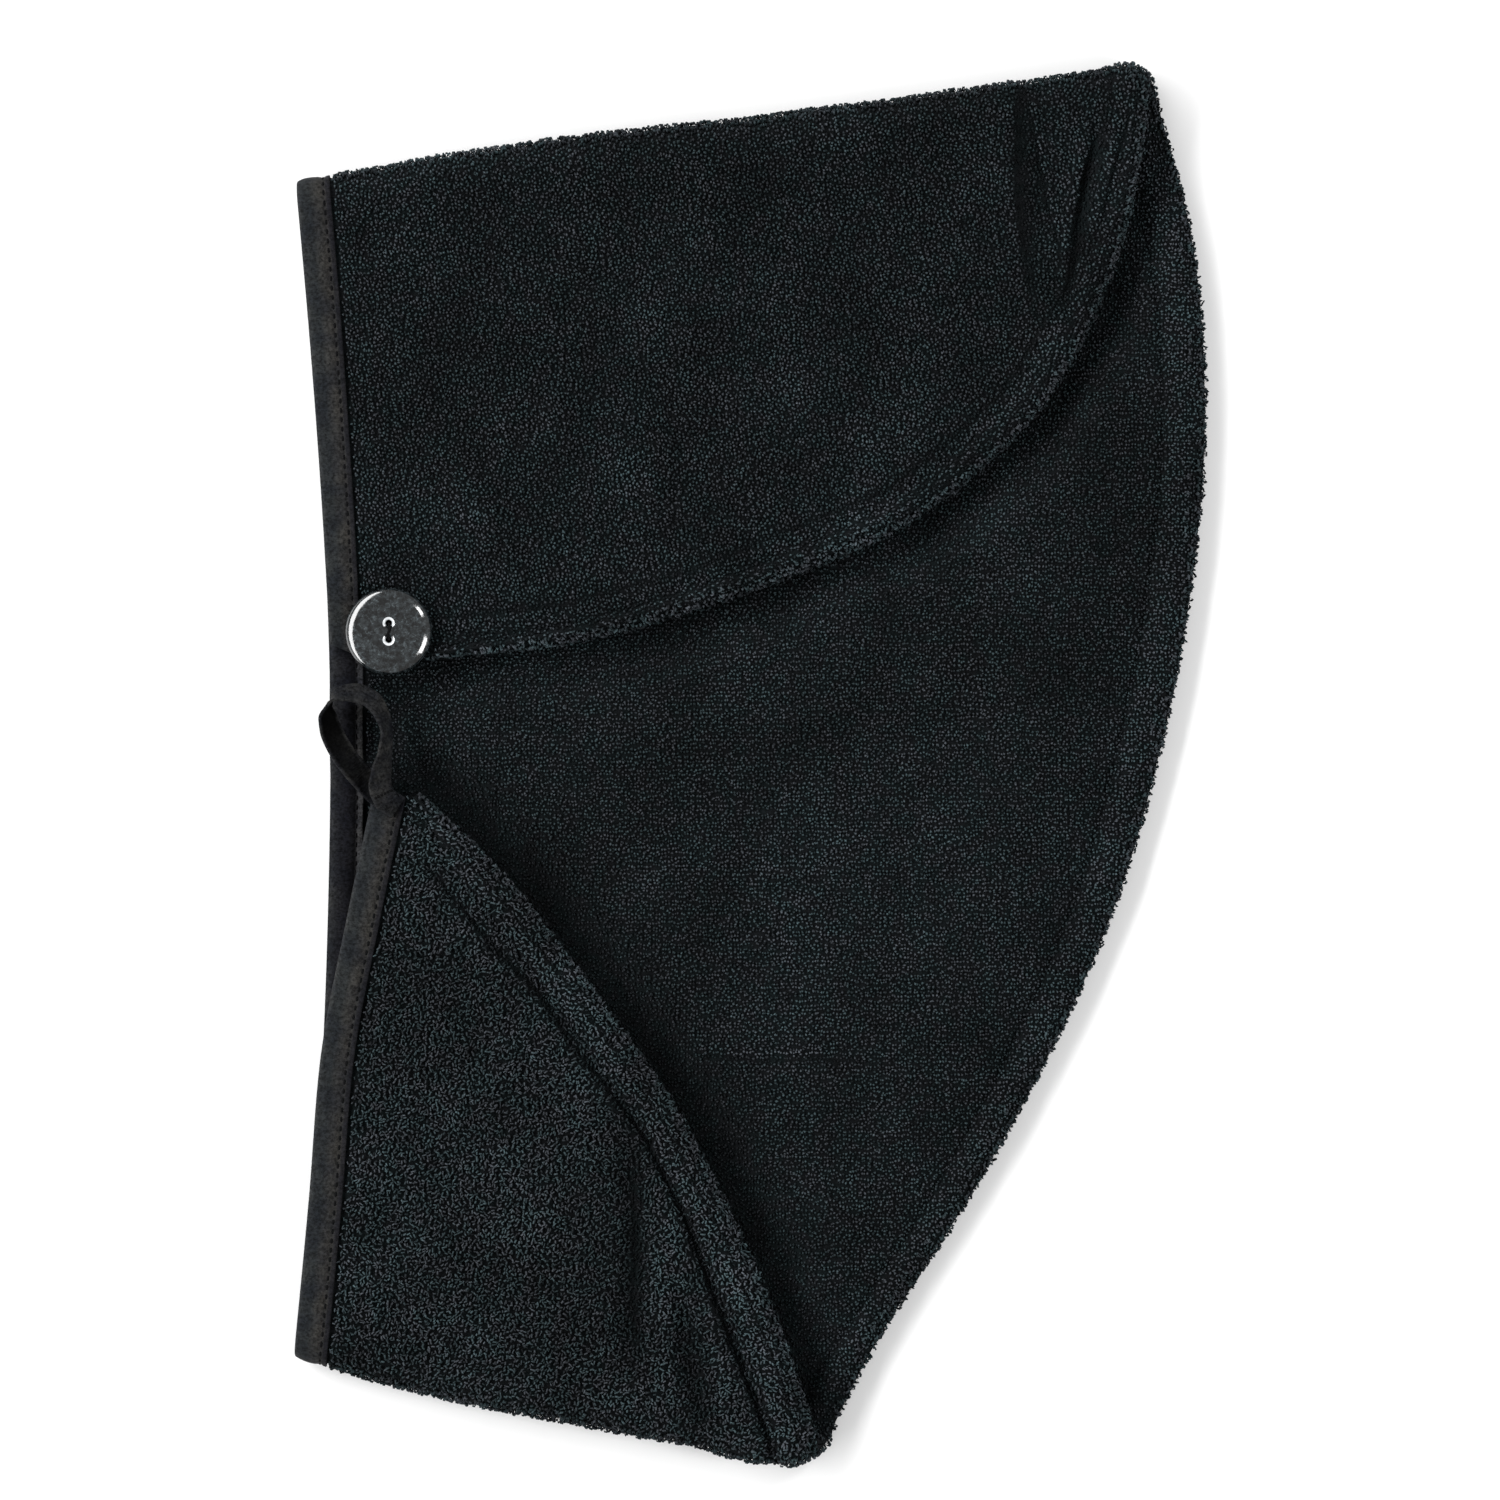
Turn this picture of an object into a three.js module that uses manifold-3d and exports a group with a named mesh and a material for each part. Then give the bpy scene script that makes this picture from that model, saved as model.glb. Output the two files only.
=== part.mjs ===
// A hair turban towel lying folded on a table: two terry panels, sewn together along a curved seam
// and open along one bound edge. The wide head end is folded down and the narrow tail end is folded
// up over the middle. X runs across from the bound edge to the seam, Y along the towel towards the
// head end, and Z up. The origin is the middle of the folded towel, on the table. Millimetres.
import * as THREE from "three";
import { mergeVertices } from "three/addons/utils/BufferGeometryUtils.js";
import Module from "manifold-3d";

// Sizes of the folded towel and its cloth
const FOLDED_WIDTH = 266;
const FOLDED_LENGTH = 405;
const TERRY_THICKNESS = 2.8;
const BOUND_THICKNESS = 1.0; // terry crushed flat inside the binding
const LAYER_GAP = 0.4; // between the two panels
const FOLD_GAP = 3.0; // between the middle and a flap, where the cloth turns
const FLAP_GAP = 0.8; // between the middle and a flap, away from the fold
const SETTLE_LENGTH = 28; // how soon a flap sinks from one gap to the other
const POCKET_RISE = 5.2; // how far the upper panel stands up between the flaps
const RISE_START = 4; // how far from each flap it starts to rise
const RISE_LENGTH = 14; // over which it rises, away from each flap
const SEAM_RISE_LENGTH = 40; // over which it rises, away from the seam
const SEAM_ALLOWANCE = 11; // band along the seam, thickened by the turned-in cloth
const SEAM_THICKENING = 0.7;
const SEAM_ROUND = 5; // width of the rounded rim at the seam

// Sizes of the trim
const BINDING_WIDTH = 9;
const BINDING_THICKNESS = 0.55;
const CLEARANCE = 0.3;
const BINDING_MARGIN = 0.9; // flat terry that shows beside the binding
const BINDING_SLOPE = 2.6; // over which the terry swells up again
const LOOP_TAPE_WIDTH = 7.2;
const LOOP_TAPE_THICKNESS = 1.0;
const LOOP_STANDOFF = 0.4;
const BUTTON_DIAMETER = 25;
const BUTTON_THICKNESS = 3.4;
const BUTTON_RIM_WIDTH = 2.6;
const BUTTON_DISH = 0.5;
const BUTTON_EDGE_ROUND = 1.1;
const BUTTON_TILT = 4; // degrees, its left side raised
const BUTTON_STANDOFF = 1.5;
const HOLE_DIAMETER = 2.4;
const HOLE_SPACING = 4.8;
const COUNTERSINK_DIAMETER = 3.6;
const COUNTERSINK_DEPTH = 0.6;
const THREAD_DIAMETER = 1.3;

// Outlines seen from above, as shares of the folded width and length
const BOUND_EDGE = [
  { x: 0.004, y: 0.076 },
  { x: 0.016, y: 0.152 },
  { x: 0.031, y: 0.26 },
  { x: 0.04, y: 0.403 },
  { x: 0.042, y: 0.546 },
  { x: 0.035, y: 0.675 },
  { x: 0.023, y: 0.797 },
  { x: 0.006, y: 0.918 },
];
const SEAM_EDGE = [
  { x: 0.578, y: 0.007 },
  { x: 0.634, y: 0.081 },
  { x: 0.738, y: 0.188 },
  { x: 0.83, y: 0.296 },
  { x: 0.901, y: 0.403 },
  { x: 0.948, y: 0.51 },
  { x: 0.98, y: 0.618 },
  { x: 0.997, y: 0.739 },
  { x: 0.985, y: 0.868 },
  { x: 0.936, y: 0.997 },
];
const HEAD_FOLD = [
  { x: 0.006, y: 0.918 },
  { x: 0.174, y: 0.938 },
  { x: 0.337, y: 0.954 },
  { x: 0.5, y: 0.965 },
  { x: 0.664, y: 0.979 },
  { x: 0.816, y: 0.992 },
  { x: 0.9, y: 1 },
  { x: 0.936, y: 0.997 },
];
const TAIL_FOLD = [
  { x: 0.004, y: 0.076 },
  { x: 0.12, y: 0.053 },
  { x: 0.229, y: 0.037 },
  { x: 0.337, y: 0.024 },
  { x: 0.446, y: 0.011 },
  { x: 0.525, y: 0 },
  { x: 0.578, y: 0.007 },
];
const HEAD_FLAP_BOUND_EDGE = [
  { x: 0.006, y: 0.918 },
  { x: 0.022, y: 0.797 },
  { x: 0.034, y: 0.689 },
  { x: 0.043, y: 0.586 },
];
const HEAD_FLAP_SEAM_EDGE = [
  { x: 0.936, y: 0.997 },
  { x: 0.919, y: 0.912 },
  { x: 0.881, y: 0.83 },
  { x: 0.805, y: 0.747 },
  { x: 0.672, y: 0.674 },
  { x: 0.446, y: 0.613 },
  { x: 0.3, y: 0.588 },
  { x: 0.153, y: 0.578 },
];
const HEAD_FLAP_END = [
  { x: 0.043, y: 0.586 },
  { x: 0.09, y: 0.575 },
  { x: 0.153, y: 0.578 },
];
const TAIL_FLAP_BOUND_EDGE = [
  { x: 0.004, y: 0.076 },
  { x: 0.02, y: 0.188 },
  { x: 0.034, y: 0.296 },
  { x: 0.061, y: 0.389 },
  { x: 0.089, y: 0.477 },
];
const TAIL_FLAP_SEAM_EDGE = [
  { x: 0.578, y: 0.007 },
  { x: 0.542, y: 0.079 },
  { x: 0.494, y: 0.157 },
  { x: 0.418, y: 0.255 },
  { x: 0.333, y: 0.335 },
  { x: 0.237, y: 0.417 },
  { x: 0.174, y: 0.457 },
  { x: 0.138, y: 0.477 },
];
const TAIL_FLAP_END = [
  { x: 0.089, y: 0.477 },
  { x: 0.138, y: 0.477 },
];

// Drag lines that the folding leaves on the flaps: a straight valley or ridge from one point to
// another in shares, with its width and its height above the cloth as shares of the terry thickness
const DRAG_LINES = [
  { fromX: 0.788, fromY: 0.985, toX: 0.797, toY: 0.811, width: 1.7, height: -0.5 },
  { fromX: 0.87, fromY: 0.95, toX: 0.844, toY: 0.807, width: 0.8, height: -0.45 },
  { fromX: 0.9, fromY: 0.94, toX: 0.881, toY: 0.893, width: 0.7, height: -0.3 },
  { fromX: 0.838, fromY: 0.975, toX: 0.827, toY: 0.811, width: 1.1, height: 0.4 },
  { fromX: 0.368, fromY: 0.224, toX: 0.368, toY: 0.074, width: 1.5, height: -0.5 },
  { fromX: 0.423, fromY: 0.107, toX: 0.442, toY: 0.047, width: 1.1, height: -0.35 },
  { fromX: 0.395, fromY: 0.16, toX: 0.408, toY: 0.06, width: 1.1, height: 0.3 },
  { fromX: 0.443, fromY: 0.155, toX: 0.52, toY: 0.02, width: 0.9, height: -0.4 },
];

// Grid lines across a panel: beside the binding, between, and beside the seam
const MIDDLE_COLUMNS = [0.07, 0.15, 0.29, 0.44, 0.57, 0.68, 0.78, 0.85, 0.89, 0.93, 0.965];
const SEAM_COLUMNS = [
  { in: SEAM_ALLOWANCE * 1.25, body: 1, thickening: 0 },
  { in: SEAM_ALLOWANCE, body: 1, thickening: 1 },
  { in: SEAM_ROUND, body: 1, thickening: 1 },
  { in: SEAM_ROUND * 0.45, body: 0.87, thickening: 1 },
  { in: SEAM_ROUND * 0.15, body: 0.58, thickening: 0.6 },
  { in: 0, body: 0.2, thickening: 0 },
];
const BOUND_COLUMNS = [
  { in: 0, thickness: BOUND_THICKNESS },
  { in: BINDING_WIDTH / 2, thickness: BOUND_THICKNESS },
  { in: BINDING_WIDTH + BINDING_MARGIN, thickness: BOUND_THICKNESS },
  { in: BINDING_WIDTH + BINDING_MARGIN + BINDING_SLOPE, thickness: TERRY_THICKNESS },
];
const BOUND_SHARE = 0.75; // the most of a narrow row that the columns beside the binding take
const SEAM_SHARE = 0.6; // and of the rest, the most that those beside the seam take

// Grid lines along a panel's middle as shares of it, for the upper panel closer at the pocket's
// mouth, and how many steps the flaps and folds take
const MIDDLE_ROWS = {
  under: [0, 0.12, 0.24, 0.36, 0.48, 0.6, 0.7, 0.8, 0.9, 1],
  upper: [
    0, 0.1, 0.2, 0.3, 0.38, 0.44, 0.47, 0.485, 0.5, 0.515, 0.53, 0.545, 0.56, 0.575, 0.6, 0.66, 0.75, 0.84,
    0.92, 1,
  ],
};
const TAIL_FLAP_STEPS = 9;
const HEAD_FLAP_STEPS = 11;
const FOLD_STEPS = 6;

// The button loop's centre line in shares, its height above the tail flap in tape widths, and the
// turn of the tape in degrees, 0 lying flat, 90 standing on its edge and 180 lying turned over
const LOOP_STATIONS = [
  { x: 0.118, y: 0.469, height: 0.00, turn: 0 },
  { x: 0.098, y: 0.478, height: 0.03, turn: 4 },
  { x: 0.077, y: 0.492, height: 0.17, turn: 12 },
  { x: 0.060, y: 0.506, height: 0.29, turn: 18 },
  { x: 0.048, y: 0.520, height: 0.37, turn: 24 },
  { x: 0.042, y: 0.533, height: 0.45, turn: 45 },
  { x: 0.044, y: 0.543, height: 0.50, turn: 85 },
  { x: 0.055, y: 0.550, height: 0.46, turn: 124 },
  { x: 0.073, y: 0.551, height: 0.41, turn: 137 },
  { x: 0.090, y: 0.546, height: 0.41, turn: 135 },
  { x: 0.101, y: 0.535, height: 0.45, turn: 122 },
  { x: 0.106, y: 0.523, height: 0.49, turn: 112 },
  { x: 0.104, y: 0.509, height: 0.47, turn: 118 },
  { x: 0.100, y: 0.495, height: 0.41, turn: 138 },
  { x: 0.099, y: 0.483, height: 0.35, turn: 155 },
  { x: 0.107, y: 0.472, height: 0.32, turn: 165 },
];
const LOOP_SECTIONS = 40;
const BUTTON_PLACE = { x: 0.108, y: 0.595 };

// What follows from the sizes
const PITCH = TERRY_THICKNESS + LAYER_GAP;
const INNER_TURN = (TERRY_THICKNESS + FOLD_GAP) / 2;
const TURN_RADIUS = { under: INNER_TURN + PITCH, upper: INNER_TURN };
const FOLD_HEIGHT = TERRY_THICKNESS / 2 + TURN_RADIUS.under;
const FOLD_REACH = TURN_RADIUS.under + TERRY_THICKNESS / 2;
const EDGE_INSET = CLEARANCE + BINDING_THICKNESS;
const FLAP_TOP = FOLD_HEIGHT + FOLD_REACH - (FOLD_GAP - FLAP_GAP);

const smooth = (t) => THREE.MathUtils.smoothstep(t, 0, 1);
const mix = (a, b, t) => a.clone().lerp(b, t);

// A point seen from above, from its shares of the folded width and length.
function place(share) {
  return new THREE.Vector3((share.x - 0.5) * FOLDED_WIDTH, (share.y - 0.5) * FOLDED_LENGTH, 0);
}

// A smooth outline through a table of shares, as a function of the share of its length.
function outline(table) {
  const curve = new THREE.CatmullRomCurve3(table.map(place), false, "centripetal");
  return (t) => curve.getPointAt(THREE.MathUtils.clamp(t, 0, 1));
}

// The flat patch between four outlines: the mean of the two ruled ways across it, which is their
// sum less the patch between the four corners.
function patch(bound, seam, near, far) {
  const left = outline(bound);
  const right = outline(seam);
  const start = outline(near);
  const end = outline(far);
  return (u, v) => {
    const across = mix(left(v), right(v), u);
    const along = mix(start(u), end(u), v);
    const corners = mix(mix(left(0), right(0), u), mix(left(1), right(1), u), v);
    return across.add(along).sub(corners);
  };
}

const MIDDLE = patch(BOUND_EDGE, SEAM_EDGE, TAIL_FOLD, HEAD_FOLD);
const HEAD_FLAP = patch(HEAD_FLAP_BOUND_EDGE, HEAD_FLAP_SEAM_EDGE, HEAD_FOLD, HEAD_FLAP_END);
const TAIL_FLAP = patch(TAIL_FLAP_BOUND_EDGE, TAIL_FLAP_SEAM_EDGE, TAIL_FOLD, TAIL_FLAP_END);

// How far a point lies from a row of points, along straight lines between them.
function distanceTo(points, point) {
  const nearest = new THREE.Vector3();
  const line = new THREE.Line3();
  return points.slice(1).reduce((least, end, i) => {
    line.set(points[i], end).closestPointToPoint(point, true, nearest);
    return Math.min(least, nearest.distanceTo(point));
  }, Infinity);
}

// The free edge of a flap, from level with its end, left of the towel, to the fold's far end.
function freeEdge(end, seam) {
  const level = { x: -end[0].x, y: end[1].y };
  return [level, ...end.slice(1), ...seam.slice(0, -1).reverse()].map(place);
}

const HEAD_FREE_EDGE = freeEdge(HEAD_FLAP_END, HEAD_FLAP_SEAM_EDGE);
const TAIL_FREE_EDGE = freeEdge(TAIL_FLAP_END, TAIL_FLAP_SEAM_EDGE);

// Whether a point is past a free edge, on the side of the other flap.
function isPast(edge, point, side) {
  const next = edge.findIndex((end, i) => i > 0 && point.x < end.x);
  if (point.x < edge[0].x) return side * (point.y - edge[0].y) > 0;
  if (next < 0) return true;
  const [a, b] = [edge[next - 1], edge[next]];
  const y = THREE.MathUtils.mapLinear(point.x, a.x, b.x, a.y, b.y);
  return side * (point.y - y) > 0;
}

// How far the upper panel stands up at a point of the middle: nothing under the flaps and at the
// seam, and the full rise in between, as three soft steps multiplied.
function pocketRise(point, fromSeam) {
  if (!isPast(HEAD_FREE_EDGE, point, -1) || !isPast(TAIL_FREE_EDGE, point, 1)) return 0;
  const fromHead = smooth((distanceTo(HEAD_FREE_EDGE, point) - RISE_START) / RISE_LENGTH);
  const fromTail = smooth((distanceTo(TAIL_FREE_EDGE, point) - RISE_START) / RISE_LENGTH);
  return POCKET_RISE * fromHead * fromTail * smooth(fromSeam / SEAM_RISE_LENGTH);
}

// The relief that the drag lines add to the outside of a flap: a bell across each line.
function dragRelief(point) {
  return DRAG_LINES.reduce((sum, line) => {
    const from = place({ x: line.fromX, y: line.fromY });
    const to = place({ x: line.toX, y: line.toY });
    const off = distanceTo([from, to], point) / (line.width * TERRY_THICKNESS);
    return sum + line.height * TERRY_THICKNESS * Math.exp(-off * off);
  }, 0);
}

// The rows of a panel's grid, from the tail's tip round both folds to the head end's corner. turn is
// the angle round a fold, and along the share of a flap or of the middle.
function panelRows(panel) {
  const flap = (zone, steps) => Array.from({ length: steps + 1 }, (_, k) => ({ zone, along: k / steps }));
  const fold = (zone) =>
    Array.from({ length: FOLD_STEPS - 1 }, (_, k) => ({ zone, turn: (Math.PI * (k + 1)) / FOLD_STEPS }));
  return [
    ...flap("tail", TAIL_FLAP_STEPS).reverse(),
    ...fold("tail").reverse(),
    ...MIDDLE_ROWS[panel].map((along) => ({ zone: "middle", along })),
    ...fold("head"),
    ...flap("head", HEAD_FLAP_STEPS),
  ];
}

// How far along a column of a patch the fold's axis lies, and the column's length.
function foldInset(area, u) {
  const length = area(u, 0).distanceTo(area(u, 1));
  return { length, share: FOLD_REACH / length };
}

// The place of a row's point seen from above, and how far round or past the fold it is.
function planPoint(row, u) {
  const inner = foldInset(MIDDLE, u);
  if (row.zone === "middle") {
    const v = THREE.MathUtils.lerp(inner.share, 1 - inner.share, row.along);
    return { point: MIDDLE(u, v), past: 0 };
  }
  const flap = row.zone === "head" ? HEAD_FLAP : TAIL_FLAP;
  const outer = foldInset(flap, u);
  if (row.turn === undefined) {
    const v = THREE.MathUtils.lerp(outer.share, 1, row.along);
    return { point: flap(u, v), past: (v - outer.share) * outer.length };
  }
  const below = MIDDLE(u, row.zone === "head" ? 1 - inner.share : inner.share);
  const above = flap(u, outer.share);
  const rim = flap(u, 0);
  const axis = mix(below, above, (1 - Math.cos(row.turn)) / 2);
  const outwards = rim.sub(mix(below, above, 0.5)).normalize();
  return { point: axis, outwards, past: 0 };
}

// The mid-surface of a panel: flat in the middle of the towel, a half circle round each fold, and
// level again on the flaps, which settle as they leave the fold.
function sheetPoint(panel, row, u, rowWidth) {
  const { point, outwards, past } = planPoint(row, u);
  const radius = TURN_RADIUS[panel];
  if (row.turn !== undefined) {
    point.addScaledVector(outwards, radius * Math.sin(row.turn));
    point.z = FOLD_HEIGHT - radius * Math.cos(row.turn);
    return point;
  }
  if (row.zone === "middle") {
    const rise = panel === "upper" ? pocketRise(point, (1 - u) * rowWidth) : 0;
    point.z = FOLD_HEIGHT - radius + rise;
    return point;
  }
  const settled = (FOLD_GAP - FLAP_GAP) * (1 - Math.exp(-past / SETTLE_LENGTH));
  point.z = FOLD_HEIGHT + radius - settled;
  return point;
}

// The columns of one row: fixed distances in from the two edges, and shares of what lies between.
function rowColumns(width) {
  const boundReach = BOUND_COLUMNS.at(-1).in;
  const seamReach = SEAM_COLUMNS[0].in;
  const boundScale = Math.min(1, (BOUND_SHARE * width) / boundReach);
  const seamScale = Math.min(1, (SEAM_SHARE * (width - boundScale * boundReach)) / seamReach);
  const first = boundReach * boundScale;
  const last = width - seamReach * seamScale;
  return [
    ...BOUND_COLUMNS.map((c) => ({ at: c.in * boundScale, thickness: c.thickness, body: 1 })),
    ...MIDDLE_COLUMNS.map((share) => ({
      at: THREE.MathUtils.lerp(first, last, share),
      thickness: TERRY_THICKNESS,
      body: 1,
    })),
    ...SEAM_COLUMNS.map((c) => ({
      at: width - c.in * seamScale,
      thickness: TERRY_THICKNESS,
      body: c.body,
      thickening: c.thickening,
    })),
  ];
}

// A panel's mid-surface as rows of points, with the cloth's columns and outward directions. The
// outward side looks away from the folds' axes: down in the middle and up on the flaps.
function panelGrid(panel) {
  const rows = panelRows(panel);
  const grid = rows.map((row) => {
    const span = planPoint(row, 0).point.distanceTo(planPoint(row, 1).point);
    const width = span - EDGE_INSET;
    return rowColumns(width).map((column) => {
      const u = (EDGE_INSET + column.at) / span;
      return { ...column, row, point: sheetPoint(panel, row, u, span) };
    });
  });
  grid.forEach((line, i) =>
    line.forEach((cell, j) => {
      const before = grid[Math.max(i - 1, 0)][j].point;
      const after = grid[Math.min(i + 1, grid.length - 1)][j].point;
      const left = line[Math.max(j - 1, 0)].point;
      const right = line[Math.min(j + 1, line.length - 1)].point;
      const along = after.clone().sub(before);
      cell.outward = along.cross(right.clone().sub(left)).normalize();
    }),
  );
  return grid;
}

// A closed mesh from two grids of points that share their rows and columns, joined at the rims.
function closedSheet(front, back) {
  const rows = front.length;
  const columns = front[0].length;
  const position = [...front.flat(), ...back.flat()].flatMap((p) => p.toArray());
  const at = (side, i, j) => (side * rows + i) * columns + j;
  const index = [];
  const quad = (a, b, c, d) => index.push(a, b, c, a, c, d);
  for (let i = 1; i < rows; i++) {
    for (let j = 1; j < columns; j++) {
      quad(at(0, i - 1, j - 1), at(0, i - 1, j), at(0, i, j), at(0, i, j - 1));
      quad(at(1, i - 1, j - 1), at(1, i, j - 1), at(1, i, j), at(1, i - 1, j));
    }
    quad(at(0, i - 1, 0), at(0, i, 0), at(1, i, 0), at(1, i - 1, 0));
    quad(at(0, i, columns - 1), at(0, i - 1, columns - 1), at(1, i - 1, columns - 1), at(1, i, columns - 1));
  }
  for (let j = 1; j < columns; j++) {
    quad(at(0, 0, j), at(0, 0, j - 1), at(1, 0, j - 1), at(1, 0, j));
    quad(at(0, rows - 1, j - 1), at(0, rows - 1, j), at(1, rows - 1, j), at(1, rows - 1, j - 1));
  }
  return facingOut(position, index);
}

// A closed mesh from rings of points along a path, with a fan over each end.
function closedTube(rings) {
  const sides = rings[0].length;
  const position = rings.flat().flatMap((p) => p.toArray());
  const index = [];
  for (let i = 1; i < rings.length; i++) {
    for (let j = 0; j < sides; j++) {
      const next = (j + 1) % sides;
      const [a, b] = [(i - 1) * sides + j, (i - 1) * sides + next];
      index.push(a, b, b + sides, a, b + sides, a + sides);
    }
  }
  const last = (rings.length - 1) * sides;
  const cap = THREE.ShapeUtils.triangulateShape(flatRing(rings[0]), []);
  const farCap = THREE.ShapeUtils.triangulateShape(flatRing(rings.at(-1)), []);
  cap.forEach(([a, b, c]) => index.push(c, b, a));
  farCap.forEach(([a, b, c]) => index.push(last + a, last + b, last + c));
  return facingOut(position, index);
}

// A ring of points in its own plane, for filling an end.
function flatRing(ring) {
  const normal = new THREE.Vector3();
  ring.forEach((p, i) => normal.add(p.clone().cross(ring[(i + 1) % ring.length])));
  const x = ring[1].clone().sub(ring[0]).normalize();
  const y = normal.normalize().clone().cross(x);
  return ring.map((p) => new THREE.Vector2(p.dot(x), p.dot(y)));
}

// The mesh of a list of corners and triangles, turned round if it encloses less than nothing.
function facingOut(position, index) {
  const corner = (k) => new THREE.Vector3().fromArray(position, 3 * k);
  let volume = 0;
  for (let k = 0; k < index.length; k += 3) {
    volume += corner(index[k]).dot(corner(index[k + 1]).cross(corner(index[k + 2])));
  }
  if (volume < 0) index.reverse();
  const geometry = new THREE.BufferGeometry();
  geometry.setAttribute("position", new THREE.Float32BufferAttribute(position, 3));
  geometry.setIndex(index);
  geometry.computeVertexNormals();
  return geometry;
}

// A terry panel. Its face towards the other panel is smooth. Its outside has the rounded rim and
// the thicker band at the seam and, where it shows, the drag lines.
function panelGeometry(panel) {
  const outside = panel === "under" ? 1 : -1;
  const grid = panelGrid(panel);
  const face = (towards) =>
    grid.map((line) =>
      line.map((cell) => {
        const half = cell.thickness / 2;
        if (!towards) return cell.point.clone().addScaledVector(cell.outward, -outside * half);
        const flat = panel === "under" && (cell.row.zone === "middle" || cell.row.turn < Math.PI / 2);
        const relief = flat || cell.thickness < TERRY_THICKNESS ? 0 : shownRelief(panel, cell);
        const height = cell.thickness * cell.body - half + relief;
        return cell.point.clone().addScaledVector(cell.outward, outside * height);
      }),
    );
  return closedSheet(face(true), face(false));
}

// The relief of the side of a panel that shows: the seam's thicker band and, on the flaps' outside,
// the drag lines.
function shownRelief(panel, cell) {
  const band = SEAM_THICKENING * (cell.thickening ?? 0);
  if (panel === "under" && cell.row.zone !== "middle") return band + dragRelief(cell.point) * cell.body;
  return panel === "upper" && cell.row.zone !== "middle" ? 0 : band;
}

// A binding: tape folded over the panel's edge, in a U that is carried along the whole edge and
// follows the panel's first columns inwards.
function bindingGeometry(panel) {
  const inner = BOUND_THICKNESS / 2 + CLEARANCE;
  const outer = inner + BINDING_THICKNESS;
  const section = [
    { column: 2, out: outer },
    { column: 1, out: outer },
    { column: 0, out: outer },
    { column: 0, beyond: EDGE_INSET, out: outer * 0.45 },
    { column: 0, beyond: EDGE_INSET, out: -outer * 0.45 },
    { column: 0, out: -outer },
    { column: 1, out: -outer },
    { column: 2, out: -outer },
    { column: 2, out: -inner },
    { column: 1, out: -inner },
    { column: 0, out: -inner },
    { column: 0, beyond: CLEARANCE, out: 0 },
    { column: 0, out: inner },
    { column: 1, out: inner },
    { column: 2, out: inner },
  ];
  const reach = BINDING_WIDTH / (BINDING_WIDTH + BINDING_MARGIN);
  const rings = panelGrid(panel).map((line) => {
    const edge = line[0].point;
    const away = edge.clone().sub(line[1].point).normalize();
    return section.map(({ column, beyond, out }) =>
      mix(edge, line[column].point, reach)
        .addScaledVector(away, beyond ?? 0)
        .addScaledVector(line[column].outward, out),
    );
  });
  return closedTube(rings);
}

// The button loop: a flat tape carried along a smooth line, turned about it.
function loopGeometry() {
  const path = LOOP_STATIONS.map((station) => {
    const point = place(station);
    point.z = FLAP_TOP + LOOP_STANDOFF + LOOP_TAPE_THICKNESS / 2 + station.height * LOOP_TAPE_WIDTH;
    return point;
  });
  const curve = new THREE.CatmullRomCurve3(path, false, "centripetal");
  const turns = LOOP_STATIONS.map((station) => THREE.MathUtils.degToRad(station.turn));
  const rings = [];
  for (let k = 0; k <= LOOP_SECTIONS; k++) {
    const at = (k / LOOP_SECTIONS) * (turns.length - 1);
    const low = Math.min(Math.floor(at), turns.length - 2);
    const turn = THREE.MathUtils.lerp(turns[low], turns[low + 1], smooth(at - low));
    const t = k / LOOP_SECTIONS;
    const tangent = curve.getTangent(t);
    const level = new THREE.Vector3(-tangent.y, tangent.x, 0).normalize();
    const broad = level.clone().applyAxisAngle(tangent, turn);
    const thin = tangent.clone().cross(broad).normalize();
    const centre = curve.getPoint(t);
    rings.push(
      [
        [0.5, -0.5],
        [0.5, 0.5],
        [-0.5, 0.5],
        [-0.5, -0.5],
      ].map(([across, through]) =>
        centre
          .clone()
          .addScaledVector(broad, across * LOOP_TAPE_WIDTH)
          .addScaledVector(thin, through * LOOP_TAPE_THICKNESS),
      ),
    );
  }
  return closedTube(rings);
}

const wasm = await Module();
wasm.setup();

// A solid from a closed geometry, for cutting.
function solid(geometry) {
  const bare = geometry.clone();
  bare.deleteAttribute("normal");
  bare.deleteAttribute("uv");
  const merged = mergeVertices(bare, 1e-4);
  const vertProperties = new Float32Array(merged.attributes.position.array);
  const triVerts = new Uint32Array(merged.index.array);
  return new wasm.Manifold(new wasm.Mesh({ numProp: 3, vertProperties, triVerts }));
}

// A geometry from a solid.
function geometryOf(body) {
  const mesh = body.getMesh();
  const geometry = new THREE.BufferGeometry();
  geometry.setAttribute("position", new THREE.Float32BufferAttribute(mesh.vertProperties, 3));
  geometry.setIndex(new THREE.Uint32BufferAttribute(mesh.triVerts, 1));
  geometry.computeVertexNormals();
  return geometry;
}

// A solid of revolution about Z, from pairs of radius and height.
function turned(profile, sides) {
  const points = profile.map(([radius, height]) => new THREE.Vector2(radius, height));
  return new THREE.LatheGeometry(points, sides).rotateX(Math.PI / 2);
}

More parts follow.
